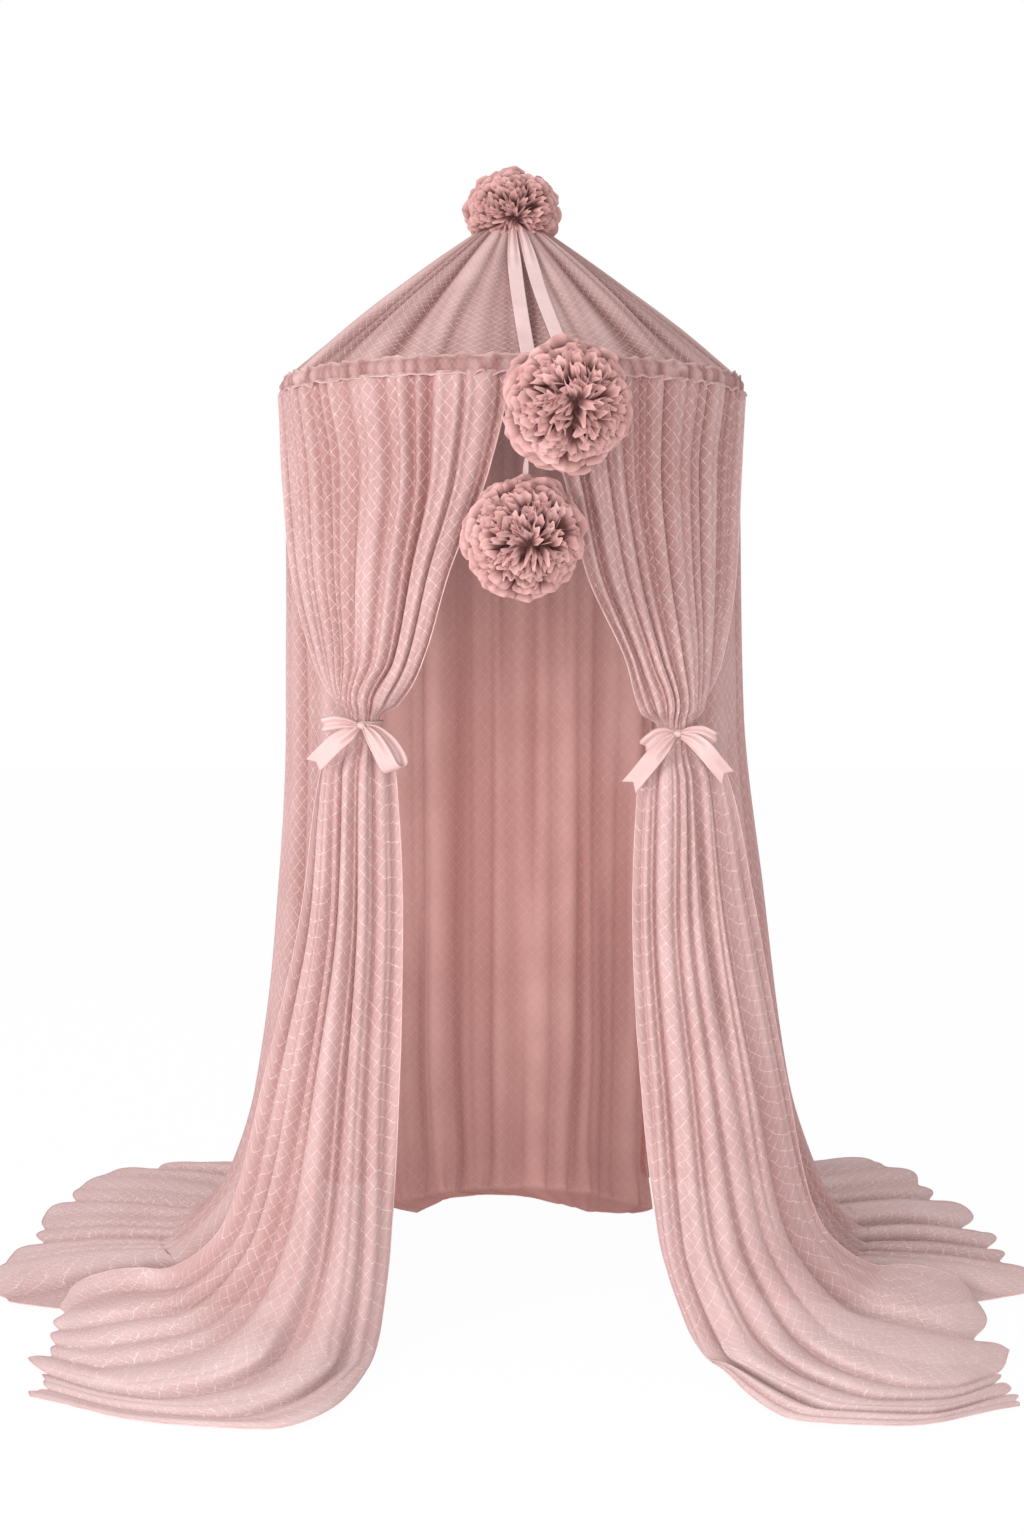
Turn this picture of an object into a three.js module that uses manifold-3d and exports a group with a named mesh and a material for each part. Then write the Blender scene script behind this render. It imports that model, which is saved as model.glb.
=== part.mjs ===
// Hanging bed canopy: a gathered cone roof on a hoop, five curtains with trains on the floor,
// two of them tied back with satin bows, and two ruffled poms that hang on ribbons at the front.
// Millimetres, +Z up, the front faces -Y. Heights are measured from the floor, and the whole
// canopy is then lowered so that the origin is the point where the ceiling hook carries the ring.

import * as THREE from 'three';
import { mergeVertices } from 'three/addons/utils/BufferGeometryUtils.js';
import Module from 'manifold-3d';

const wasm = await Module();
wasm.setup();

// Driving dimensions
const hoopRadius = 340;        // hoop, to the middle of its rod
const rimHeight = 1359;        // hoop above the floor
const hangHeight = 1688;       // hook point above the floor
const clothWall = 3;           // thickness given to the gathered cloth
const seatGap = 0.3;           // clearance between pieces that touch
const foldDepth = 8;           // depth of the main folds

// Hoop and its casing
const rodRadius = 4;
const sleeveWall = 1.2;
const sleeveLength = 44;
const rodEndGap = 1;
const casingHalfHeight = 8.6;
const casingReach = 8.5;
const casingWall = 2;
const casingLipGap = 4;
const ruffleDepth = 1.6;
const ruffleWaves = 20;

// Roof and neck
const neckRadius = 30;
const neckHeight = 1609;
const roofFolds = 16;
const roofFoldDepth = 5;
const roofSag = 6;
const bindingHeight = 14;
const bindingWall = 3;
const neckStand = 12;

// Hanging gear
const ringWire = 1.75;
const ringRadius = 16;
const loopWidth = 12;
const loopThickness = 1.6;
const loopSpread = 5;
const loopShoulderShare = 0.75;
const loopDropShare = 0.3;

// Curtains: plan angles in degrees away from the front
const layerGap = 6;
const frontFolds = 8;
const sideFolds = 9;
const backFolds = 8;
const stepsPerFold = 4;

// Tiebacks
const bundleRadius = 26;
const bundleWrap = 130;        // half of the angle that the gathered cloth goes round, degrees
const tieBandHeight = 11;
const tieBandWall = 1;
const bowRibbonWidth = 25;
const bowRibbonThickness = 0.8;
const knotWidth = 15;
const knotHeight = 12;
const knotDepth = 10;
const bowReach = 65;
const stripStand = 0.9;

// Poms and their ribbons
const topPomRadius = 75;
const topPomHeight = 1634;
const topPomRise = 66;
const wellFloorShare = 0.25;
const pomRadius = 83;
const pomLobes = 12;
const pomLobeShare = 0.07;
const ribbonWidth = 20;
const ribbonThickness = 0.8;
const ribbonPocket = 34;
const ribbonHang = 24;
const ribbonNeckShare = 0.5;    // how wide the ribbon still is where it leaves the neck
const ribbonSpreadShare = 0.25; // how far along the roof it has spread to its full width
const twistShares = [0.45, 0.7];

// Facets
const roundSides = 32;
const ringSides = 20;
const wireSides = 8;
const knotSides = 14;
const knotRows = 8;

const tau = Math.PI * 2;
const rad = THREE.MathUtils.degToRad;
const vec = (x, y, z) => new THREE.Vector3(x, y, z);

// A point by its angle away from the front, its distance from the axis and its height
function polar(degrees, radius, height) {
  const angle = rad(degrees);
  return vec(radius * Math.sin(angle), -radius * Math.cos(angle), height);
}

// A smooth value through evenly spaced values, at a share from 0 to 1
function smoothThrough(values, share) {
  const last = values.length - 1;
  const place = Math.min(Math.max(share, 0), 1) * last;
  const i = Math.min(Math.floor(place), last - 1);
  const t = place - i;
  const b = values[i];
  const c = values[i + 1];
  const a = i > 0 ? values[i - 1] : 2 * b - c;
  const d = i < last - 1 ? values[i + 2] : 2 * c - b;
  const slope = (c - a) / 2;
  const nextSlope = (d - b) / 2;
  const bend = 3 * (c - b) - 2 * slope - nextSlope;
  const turn = 2 * (b - c) + slope + nextSlope;
  return b + slope * t + bend * t * t + turn * t * t * t;
}

// A closed geometry from points and triangles, turned so that its faces point out
function closedGeometry(points, triangles) {
  let volume = 0;
  for (const [a, b, c] of triangles) {
    volume += points[a].dot(points[b].clone().cross(points[c]));
  }
  const geometry = new THREE.BufferGeometry();
  const places = points.flatMap((point) => point.toArray());
  geometry.setAttribute('position', new THREE.Float32BufferAttribute(places, 3));
  geometry.setIndex(triangles.flatMap(([a, b, c]) => (volume > 0 ? [a, b, c] : [a, c, b])));
  return geometry;
}

// A cloth of an even thickness, from rows of points down it; closed when the rows are rings
function clothShell(rows, wall, closed = false) {
  const down = rows.length;
  const across = rows[0].length;
  const wrap = (j) => (closed ? (j + across) % across : Math.min(Math.max(j, 0), across - 1));
  const points = [];
  for (const side of [1, -1]) {
    for (let i = 0; i < down; i += 1) {
      for (let j = 0; j < across; j += 1) {
        const along = rows[i][wrap(j + 1)].clone().sub(rows[i][wrap(j - 1)]);
        const below = rows[Math.min(i + 1, down - 1)][j].clone().sub(rows[Math.max(i - 1, 0)][j]);
        const normal = along.cross(below).normalize();
        points.push(rows[i][j].clone().addScaledVector(normal, side * wall / 2));
      }
    }
  }
  const at = (side, i, j) => side * down * across + i * across + wrap(j);
  const triangles = [];
  const quad = (a, b, c, d) => triangles.push([a, b, c], [a, c, d]);
  const spans = closed ? across : across - 1;
  for (let i = 0; i < down - 1; i += 1) {
    for (let j = 0; j < spans; j += 1) {
      quad(at(0, i, j), at(0, i, j + 1), at(0, i + 1, j + 1), at(0, i + 1, j));
      quad(at(1, i, j), at(1, i + 1, j), at(1, i + 1, j + 1), at(1, i, j + 1));
    }
  }
  for (let j = 0; j < spans; j += 1) {
    quad(at(0, 0, j), at(1, 0, j), at(1, 0, j + 1), at(0, 0, j + 1));
    quad(at(0, down - 1, j), at(0, down - 1, j + 1), at(1, down - 1, j + 1), at(1, down - 1, j));
  }
  if (!closed) {
    const end = across - 1;
    for (let i = 0; i < down - 1; i += 1) {
      quad(at(0, i, 0), at(0, i + 1, 0), at(1, i + 1, 0), at(1, i, 0));
      quad(at(0, i, end), at(1, i, end), at(1, i + 1, end), at(0, i + 1, end));
    }
  }
  return closedGeometry(points, triangles);
}

// A ring from closed sections, one after the other round it
function ringSolid(sections) {
  const size = sections[0].length;
  const triangles = [];
  for (let i = 0; i < sections.length; i += 1) {
    const next = (i + 1) % sections.length;
    for (let k = 0; k < size; k += 1) {
      const far = (k + 1) % size;
      triangles.push([i * size + k, i * size + far, next * size + far]);
      triangles.push([i * size + k, next * size + far, next * size + k]);
    }
  }
  return closedGeometry(sections.flat(), triangles);
}

// A flat ribbon along points, with a width vector at each
function ribbonSolid(centres, widths, thickness) {
  const last = centres.length - 1;
  const points = [];
  for (let i = 0; i <= last; i += 1) {
    const along = centres[Math.min(i + 1, last)].clone().sub(centres[Math.max(i - 1, 0)]);
    const face = along.cross(widths[i]).normalize().multiplyScalar(thickness / 2);
    for (const [w, f] of [[1, 1], [-1, 1], [-1, -1], [1, -1]]) {
      points.push(centres[i].clone().addScaledVector(widths[i], w / 2).addScaledVector(face, f));
    }
  }
  const triangles = [];
  for (let i = 0; i < last; i += 1) {
    for (let k = 0; k < 4; k += 1) {
      const a = i * 4 + k;
      const b = i * 4 + (k + 1) % 4;
      triangles.push([a, b, b + 4], [a, b + 4, a + 4]);
    }
  }
  const end = last * 4;
  triangles.push([0, 2, 1], [0, 3, 2], [end, end + 1, end + 2], [end, end + 2, end + 3]);
  return closedGeometry(points, triangles);
}

// Booleans
function toManifold(geometry) {
  const bare = geometry.clone();
  bare.deleteAttribute('normal');
  bare.deleteAttribute('uv');
  const merged = mergeVertices(bare);
  return new wasm.Manifold(new wasm.Mesh({
    numProp: 3,
    vertProperties: new Float32Array(merged.attributes.position.array),
    triVerts: new Uint32Array(merged.index.array),
  }));
}

function cutAway(body, tool) {
  const result = toManifold(body).subtract(toManifold(tool)).getMesh();
  const geometry = new THREE.BufferGeometry();
  geometry.setAttribute('position', new THREE.BufferAttribute(result.vertProperties, 3));
  geometry.setIndex(new THREE.BufferAttribute(result.triVerts, 1));
  return geometry;
}

// Materials
const finishes = {
  lace: { color: 0xd9b0ae, roughness: 0.9, metalness: 0 },
  lining: { color: 0xc2958f, roughness: 0.9, metalness: 0 },
  satin: { color: 0xf0d0ce, roughness: 0.35, metalness: 0 },
  petals: { color: 0xc99490, roughness: 0.85, metalness: 0 },
  steel: { color: 0xb9bcc0, roughness: 0.3, metalness: 1 },
  rod: { color: 0xe8e6e2, roughness: 0.5, metalness: 0 },
  tape: { color: 0xd8b5b2, roughness: 0.8, metalness: 0 },
};

const canopy = new THREE.Group();
canopy.position.z = -hangHeight;

function add(name, geometry, finish) {
  const mesh = new THREE.Mesh(geometry, new THREE.MeshStandardMaterial(finishes[finish]));
  mesh.name = name;
  canopy.add(mesh);
  return mesh;
}

// Hoop: two half rods joined by sleeves at the sides
class HoopArc extends THREE.Curve {
  constructor(from, to) {
    super();
    this.from = from;
    this.to = to;
  }

  getPoint(t, target = new THREE.Vector3()) {
    return target.copy(polar(this.from + (this.to - this.from) * t, hoopRadius, rimHeight));
  }
}

const degreesPerLength = 360 / (tau * hoopRadius);
const rodSection = new THREE.Shape().absarc(0, 0, rodRadius, 0, tau);
const sleeveRadius = rodRadius + seatGap + sleeveWall;
const sleeveSection = new THREE.Shape().absarc(0, 0, sleeveRadius, 0, tau);
sleeveSection.holes.push(new THREE.Path().absarc(0, 0, rodRadius + seatGap, 0, tau, true));
const rodSides = 4;

function sweep(section, from, to, steps) {
  const settings = { steps, extrudePath: new HoopArc(from, to), curveSegments: rodSides };
  return new THREE.ExtrudeGeometry(section, settings);
}

const rodEnd = rodEndGap / 2 * degreesPerLength;
const sleeveHalf = sleeveLength / 2 * degreesPerLength;
const rodSteps = 45;
const sleeveSteps = 2;
add('hoop_half_front', sweep(rodSection, -90 + rodEnd, 90 - rodEnd, rodSteps), 'rod');
add('hoop_half_back', sweep(rodSection, 90 + rodEnd, 270 - rodEnd, rodSteps), 'rod');
add('hoop_sleeve_left', sweep(sleeveSection, -90 - sleeveHalf, -90 + sleeveHalf, sleeveSteps), 'steel');
add('hoop_sleeve_right', sweep(sleeveSection, 90 - sleeveHalf, 90 + sleeveHalf, sleeveSteps), 'steel');

// Puckered casing round the hoop, open towards the axis where the roof and curtains are sewn in
const casingSteps = ruffleWaves * 3;
const casingSag = hoopRadius * (1 - Math.cos(Math.PI / casingSteps));
const cavity = sleeveRadius + seatGap + casingSag;

function casingRing(index) {
  const degrees = 360 * index / casingSteps;
  const pucker = ruffleDepth * Math.sin(tau * ruffleWaves * index / casingSteps);
  const section = [
    [-cavity - casingWall, casingLipGap / 2],
    [-cavity - casingWall, casingHalfHeight],
    [casingReach / 2, casingHalfHeight],
    [casingReach + pucker, casingHalfHeight / 2],
    [casingReach - pucker, -casingHalfHeight / 2],
    [casingReach / 2, -casingHalfHeight],
    [-cavity - casingWall, -casingHalfHeight],
    [-cavity - casingWall, -casingLipGap / 2],
    [-cavity, -casingLipGap / 2],
    [-cavity, -cavity],
    [cavity, -cavity],
    [cavity, cavity],
    [-cavity, cavity],
    [-cavity, casingLipGap / 2],
  ];
  return section.map(([out, up]) => polar(degrees, hoopRadius + out, rimHeight + up));
}

add('rim_ruffle', ringSolid(Array.from({ length: casingSteps }, (unused, i) => casingRing(i))), 'lace');

// Roof: a cone with radial folds, sewn to the casing and gathered in at the neck
const roofAcross = roofFolds * stepsPerFold;
const roofRows = 4;
const roofEdgeHeight = rimHeight + casingHalfHeight + seatGap + clothWall / 2;
const roofProfile = (share) => ({
  radius: hoopRadius + (neckRadius - hoopRadius) * share,
  height: roofEdgeHeight + (neckHeight - roofEdgeHeight) * share - roofSag * Math.sin(Math.PI * share),
});

function roofRow(row) {
  const share = row / roofRows;
  const { radius, height } = roofProfile(share);
  const depth = roofFoldDepth * Math.sin(Math.PI * share) * radius / hoopRadius;
  return Array.from({ length: roofAcross }, (unused, j) => {
    const lift = depth * Math.cos(tau * roofFolds * j / roofAcross);
    return polar(360 * j / roofAcross, radius, height + lift);
  });
}

// The gathered neck stands up from the cone inside its binding
function neckRow() {
  const height = neckHeight + neckStand;
  const ring = { length: roofAcross };
  return Array.from(ring, (unused, j) => polar(360 * j / roofAcross, neckRadius, height));
}

const roofLines = Array.from({ length: roofRows + 1 }, (unused, i) => roofRow(i));
add('roof_cloth', clothShell([...roofLines, neckRow()], clothWall, true), 'lace');

// Curtains hang from the casing. Each row of a curtain has a height, as a share of the rim height,
// and plan angles away from the front and distances from the axis, as shares of the hoop radius,
// spread evenly from one upright edge to the other, and the share of the full fold depth.
const curtainTop = rimHeight - casingHalfHeight - seatGap;
const outerLayerShare = 1 + layerGap / hoopRadius;
const innerLayerShare = 1 - layerGap / hoopRadius;

// Front panels: from the doorway edge to the outer edge, over the side curtains
const frontRim = (angles) => ({
  top: true, foldShare: 0, angles, reachShares: [outerLayerShare, outerLayerShare],
});
const frontLeft = {
  knot: { angle: 37.8, radius: 342, height: 867 },
  rows: [
    frontRim([1, 20, 39, 58, 77]),
    { heightShare: 0.898, foldShare: 0.8, angles: [5.5, 19, 33, 47.5, 61.7],
      reachShares: [1.02, 1.02, 1.02] },
    { heightShare: 0.795, foldShare: 0.8, angles: [13.3, 24, 35, 46.5, 57.6],
      reachShares: [1.02, 1.03, 1.02] },
    { heightShare: 0.706, foldShare: 0.3, angles: [20.4, 28, 36, 44, 51.4],
      reachShares: [1.01, 1.05, 1.015] },
    { heightShare: 0.662, foldShare: 0.1, angles: [29, 33, 37.8, 42, 46.5],
      reachShares: [0.97, 1.06, 1.08, 1.06, 0.98] },
    { knotSide: 1, foldShare: 0 },
    { knotSide: -1, foldShare: 0 },
    { heightShare: 0.589, foldShare: 0.15, angles: [31, 34, 38, 42, 44.5],
      reachShares: [0.96, 1.06, 1.09, 1.1, 1.09] },
    { heightShare: 0.456, foldShare: 0.5, angles: [28.5, 33, 37.5, 42, 46.5],
      reachShares: [0.985, 1.09, 1.12, 1.14, 1.15] },
    { heightShare: 0.258, foldShare: 1, angles: [27.3, 33, 39.5, 46.5, 54],
      reachShares: [1.05, 1.17, 1.21, 1.23, 1.245] },
    { heightShare: 0.088, foldShare: 1, angles: [27.6, 33, 41, 50.5, 61],
      reachShares: [1.12, 1.26, 1.31, 1.33, 1.33] },
    { heightShare: 0, foldShare: 1, angles: [27.8, 33.5, 42, 53, 65],
      reachShares: [1.2, 1.38, 1.45, 1.47, 1.42] },
    { heightShare: 0, foldShare: 1, angles: [25, 31, 41, 53, 67],
      reachShares: [1.45, 1.75, 1.88, 1.9, 1.72] },
    { heightShare: 0, foldShare: 0.3, angles: [20.3, 27, 40, 53, 68],
      reachShares: [1.73, 2.13, 2.33, 2.37, 2.03] },
  ],
};
const frontRight = {
  knot: { angle: 40.2, radius: 356, height: 856 },
  rows: [
    frontRim([2.5, 21, 39, 58, 77]),
    { heightShare: 0.898, foldShare: 0.8, angles: [10.4, 22, 35, 48, 61],
      reachShares: [1.02, 1.02, 1.02] },
    { heightShare: 0.795, foldShare: 0.8, angles: [16.1, 27, 38, 49, 59],
      reachShares: [1.02, 1.04, 1.03] },
    { heightShare: 0.706, foldShare: 0.3, angles: [26.5, 33, 40, 47.5, 55],
      reachShares: [1.02, 1.09, 1.04] },
    { heightShare: 0.655, foldShare: 0.1, angles: [32.5, 36, 40.2, 44.5, 49],
      reachShares: [1.0, 1.1, 1.12, 1.1, 1.01] },
    { knotSide: 1, foldShare: 0 },
    { knotSide: -1, foldShare: 0 },
    { heightShare: 0.583, foldShare: 0.15, angles: [32.7, 36, 40.5, 45.5, 49.5],
      reachShares: [0.996, 1.1, 1.13, 1.14, 1.13] },
    { heightShare: 0.456, foldShare: 0.5, angles: [30.3, 35, 40.5, 46.5, 53],
      reachShares: [1.02, 1.12, 1.17, 1.2, 1.21] },
    { heightShare: 0.258, foldShare: 1, angles: [30.8, 36, 42.5, 49.5, 57],
      reachShares: [1.08, 1.21, 1.28, 1.32, 1.33] },
    { heightShare: 0.088, foldShare: 1, angles: [32.2, 37, 44, 52.5, 62],
      reachShares: [1.2, 1.33, 1.4, 1.44, 1.42] },
    { heightShare: 0, foldShare: 1, angles: [32.6, 37.5, 45, 55, 66],
      reachShares: [1.31, 1.47, 1.55, 1.57, 1.5] },
    { heightShare: 0, foldShare: 1, angles: [30.2, 34.5, 44, 55, 68],
      reachShares: [1.57, 1.83, 2, 1.98, 1.8] },
    { heightShare: 0, foldShare: 0.3, angles: [28.5, 31, 41.5, 54, 70],
      reachShares: [1.83, 2.13, 2.42, 2.35, 2.05] },
  ],
};

// Side curtains: from the front edge, hidden behind the front panel, to the back edge
const sideReach = [innerLayerShare, innerLayerShare, 0.99, 1, 1, 1, 1];
const sideAngles = [52, 66, 80, 95, 110, 124, 138];
const sideLeft = {
  rows: [
    { top: true, foldShare: 0, angles: sideAngles, reachShares: sideReach },
    { heightShare: 0.8, foldShare: 0.8, angles: sideAngles, reachShares: sideReach },
    { heightShare: 0.638, foldShare: 0.9, angles: sideAngles,
      reachShares: [0.97, 0.98, 0.99, 1, 1, 1, 1] },
    { heightShare: 0.426, foldShare: 1, angles: [53, 67, 81, 95, 110, 124, 138.5],
      reachShares: [0.975, 0.99, 1.02, 1.05, 1.05, 1.04, 1.01] },
    { heightShare: 0.21, foldShare: 1, angles: [56, 70, 83, 96, 111, 125, 140],
      reachShares: [1, 1.06, 1.12, 1.15, 1.16, 1.13, 1.04] },
    { heightShare: 0.09, foldShare: 1, angles: [60, 73, 85, 97, 112, 127, 142],
      reachShares: [1.03, 1.15, 1.23, 1.27, 1.27, 1.22, 1.08] },
    { heightShare: 0, foldShare: 1, angles: [64, 76, 86, 98, 113, 128, 143],
      reachShares: [1.07, 1.3, 1.41, 1.45, 1.43, 1.36, 1.14] },
    { heightShare: 0, foldShare: 1, angles: [65.5, 76, 87, 99, 113, 128, 143],
      reachShares: [1.1, 1.68, 1.86, 1.88, 1.9, 1.88, 1.3] },
    { heightShare: 0, foldShare: 0.3, angles: [66.5, 74, 87, 99, 113, 126, 141],
      reachShares: [1.12, 2.27, 2.24, 2.27, 2.38, 2.37, 1.45] },
  ],
};
const sideRight = {
  rows: [
    { top: true, foldShare: 0, angles: sideAngles, reachShares: sideReach },
    { heightShare: 0.8, foldShare: 0.8, angles: sideAngles,
      reachShares: [0.98, 0.98, 1, 1.01, 1.01, 1.01, 1] },
    { heightShare: 0.638, foldShare: 0.9, angles: sideAngles,
      reachShares: [0.97, 0.98, 1.01, 1.03, 1.03, 1.02, 1] },
    { heightShare: 0.426, foldShare: 1, angles: [53, 67, 81, 95, 110, 124, 138.5],
      reachShares: [0.975, 1.01, 1.08, 1.13, 1.12, 1.08, 1.01] },
    { heightShare: 0.21, foldShare: 1, angles: [58, 71, 83, 96, 111, 125, 140],
      reachShares: [1, 1.1, 1.19, 1.25, 1.24, 1.18, 1.04] },
    { heightShare: 0.09, foldShare: 1, angles: [63, 75, 86, 98, 113, 127, 142],
      reachShares: [1.04, 1.2, 1.3, 1.37, 1.35, 1.27, 1.08] },
    { heightShare: 0, foldShare: 1, angles: [66, 77.5, 88, 100, 114, 128, 143],
      reachShares: [1.08, 1.35, 1.46, 1.51, 1.48, 1.4, 1.14] },
    { heightShare: 0, foldShare: 1, angles: [67.5, 78, 89, 101, 114, 128, 143],
      reachShares: [1.1, 1.7, 1.88, 1.9, 1.92, 1.9, 1.3] },
    { heightShare: 0, foldShare: 0.3, angles: [68.5, 75.5, 88, 100, 114, 128, 141],
      reachShares: [1.12, 2.25, 2.28, 2.26, 2.35, 2.42, 1.45] },
  ],
};

// Back curtain: its spare length turns in on the floor
const back = {
  rows: [
    { top: true, foldShare: 0, angles: [138.4, 180, 221.6], reachShares: [1, 1, 1] },
    { heightShare: 0.8, foldShare: 0.8, angles: [138.5, 180, 221.5], reachShares: [1, 1, 1] },
    { heightShare: 0.5, foldShare: 1, angles: [139, 180, 221], reachShares: [1, 1, 1] },
    { heightShare: 0.2, foldShare: 1, angles: [141.5, 161, 180, 199, 218.5],
      reachShares: [1, 1.03, 1.04, 1.03, 1] },
    { heightShare: 0.05, foldShare: 1, angles: [144, 162, 180, 198, 216],
      reachShares: [0.99, 1.05, 1.06, 1.05, 0.99] },
    { heightShare: 0, foldShare: 0.6, angles: [145, 163, 180, 197, 215],
      reachShares: [0.98, 1.06, 1.07, 1.06, 0.98] },
    { heightShare: 0, foldShare: 1, angles: [147, 164, 180, 196, 213],
      reachShares: [0.9, 0.95, 0.98, 0.91, 0.88] },
  ],
};

function knotRow(knot, half, across) {
  const middle = polar(knot.angle, knot.radius, knot.height + half);
  return Array.from({ length: across }, (unused, j) => {
    const turn = rad(bundleWrap * (2 * j / (across - 1) - 1) + knot.angle);
    return middle.clone().add(vec(bundleRadius * Math.sin(turn), -bundleRadius * Math.cos(turn), 0));
  });
}

function curtainRow(row, curtain, folds) {
  const across = folds * stepsPerFold + 1;
  if (row.knotSide) {
    return knotRow(curtain.knot, row.knotSide * (tieBandHeight + clothWall) / 2, across);
  }
  const onFloor = row.heightShare === 0;
  const height = row.top ? curtainTop : row.heightShare * rimHeight;
  return Array.from({ length: across }, (unused, j) => {
    const share = j / (across - 1);
    const degrees = smoothThrough(row.angles, share);
    const radius = smoothThrough(row.reachShares, share) * hoopRadius;
    const fold = row.foldShare * foldDepth * (1 - Math.cos(tau * folds * share)) / 2;
    return onFloor
      ? polar(degrees, radius, clothWall / 2 + fold)
      : polar(degrees, radius + fold, height);
  });
}

// side is 1 on the right of the doorway and -1 on the left
function addCurtain(name, curtain, folds, side, finish) {
  const rows = curtain.rows.map((row) => curtainRow(row, curtain, folds));
  const placed = rows.map((row) => row.map((point) => vec(side * point.x, point.y, point.z)));
  add(name, clothShell(placed, clothWall), finish);
}

addCurtain('curtain_back', back, backFolds, 1, 'lining');
addCurtain('curtain_side_left', sideLeft, sideFolds, -1, 'lace');
addCurtain('curtain_side_right', sideRight, sideFolds, 1, 'lace');
addCurtain('curtain_front_left', frontLeft, frontFolds, -1, 'lace');
addCurtain('curtain_front_right', frontRight, frontFolds, 1, 'lace');

// Tiebacks: a band round the gathered cloth, a knot in front of it, loops and tails
const bundleOuter = bundleRadius + clothWall / 2;
const bandInner = (bundleOuter + seatGap) / Math.cos(Math.PI / roundSides);
const bandOuter = bandInner + tieBandWall;

function tieBand(centre) {
  const section = [
    [bandInner, -tieBandHeight / 2],
    [bandOuter, -tieBandHeight / 2],
    [bandOuter, tieBandHeight / 2],
    [bandInner, tieBandHeight / 2],
    [bandInner, -tieBandHeight / 2],
  ];
  const profile = section.map(([radius, up]) => new THREE.Vector2(radius, up));
  const band = new THREE.LatheGeometry(profile, roundSides);
  band.rotateX(Math.PI / 2);
  band.translate(...centre.toArray());
  return band;
}

function bowKnot(centre) {
  const knot = new THREE.SphereGeometry(1, knotSides, knotRows);
  knot.scale(knotWidth / 2, knotDepth / 2, knotHeight / 2);
  knot.translate(...centre.toArray());
  return knot;
}

// A point just clear of the knot, in a given direction from its middle
function besideKnot(direction) {
  const out = direction.clone().normalize();
  const surface = 1 / Math.hypot(out.x * 2 / knotWidth, out.y * 2 / knotDepth, out.z * 2 / knotHeight);
  return out.multiplyScalar(surface + stripStand);
}

// A strip of the bow: points from the knot's middle, as shares of the bow's reach, the direction
// that the ribbon's width lies in, and its width at each point, as a share of the full width.
// A loop comes back to the knot.
function bowStrip(centre, strip, side) {
  const offsets = strip.pointShares.map(([x, y, z]) => vec(side * x, y, z).multiplyScalar(bowReach));
  const last = offsets.length - 1;
  const out = offsets[strip.loop ? last / 2 : last].clone().normalize();
  const across = vec(side * strip.across[0], strip.across[1], strip.across[2]);
  across.addScaledVector(out, -across.dot(out)).normalize();
  offsets[0] = besideKnot(offsets[0]);
  if (strip.loop) {
    offsets[last] = besideKnot(offsets[last]);
  }
  const points = offsets.map((offset) => offset.add(centre));
  const widths = strip.widthShares.map((share) => across.clone().multiplyScalar(bowRibbonWidth * share));
  return ribbonSolid(points, widths, bowRibbonThickness);
}

const bows = {
  left: {
    side: -1,
    curtain: frontLeft,
    strips: {
      loop_upper: {
        loop: true,
        across: [0.1, -0.3, 1],
        widthShares: [0.3, 0.65, 0.8, 0.8, 0.75, 0.6, 0.3],
        pointShares: [[0.15, -0.05, 0.03], [0.45, -0.16, 0.1], [0.78, -0.14, 0.08], [0.88, -0.06, 0.05],
          [0.76, 0.0, 0.05], [0.45, -0.02, 0.07], [0.15, 0.02, 0.03]],
      },
      loop_lower: {
        loop: true,
        across: [-0.75, -0.2, 0.65],
        widthShares: [0.3, 0.7, 0.85, 0.85, 0.85, 0.7, 0.3],
        pointShares: [[-0.12, -0.08, -0.02], [-0.4, -0.26, -0.16], [-0.72, -0.28, -0.5],
          [-0.78, -0.2, -0.64], [-0.68, -0.13, -0.52], [-0.36, -0.14, -0.14], [-0.13, 0, -0.02]],
      },
      tail: {
        across: [-0.6, -0.15, 0.78],
        widthShares: [0.35, 0.7, 0.95, 1],
        pointShares: [[0.1, -0.02, -0.13], [0.35, -0.15, -0.32], [0.66, -0.2, -0.56],
          [0.98, -0.2, -0.76]],
      },
    },
  },
  right: {
    side: 1,
    curtain: frontRight,
    strips: {
      loop_left: {
        loop: true,
        across: [0.3, -0.2, 1],
        widthShares: [0.3, 0.6, 0.75, 0.75, 0.7, 0.6, 0.3],
        pointShares: [[-0.15, -0.05, 0.02], [-0.38, -0.18, 0.04], [-0.68, -0.18, -0.06],
          [-0.78, -0.11, -0.12], [-0.68, -0.05, -0.08], [-0.38, -0.06, 0], [-0.15, 0.02, 0.02]],
      },
      loop_right: {
        loop: true,
        across: [-0.2, -0.2, 1],
        widthShares: [0.3, 0.6, 0.75, 0.75, 0.7, 0.6, 0.3],
        pointShares: [[0.15, -0.05, 0.03], [0.42, -0.16, 0.07], [0.74, -0.15, 0.03], [0.84, -0.08, -0.03],
          [0.74, -0.01, 0.0], [0.42, -0.03, 0.05], [0.15, 0.02, 0.03]],
      },
      tail_left: {
        across: [-0.6, 0.15, 0.78],
        widthShares: [0.35, 0.7, 0.95, 1],
        pointShares: [[-0.09, -0.03, -0.13], [-0.42, -0.28, -0.42], [-0.75, -0.32, -0.74],
          [-1.05, -0.32, -1.05]],
      },
      tail_right: {
        across: [0.6, 0.15, 0.78],
        widthShares: [0.35, 0.7, 0.95, 1],
        pointShares: [[0.09, -0.03, -0.13], [0.4, -0.28, -0.36], [0.72, -0.32, -0.64],
          [1.03, -0.32, -0.9]],
      },
    },
  },
};

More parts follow.
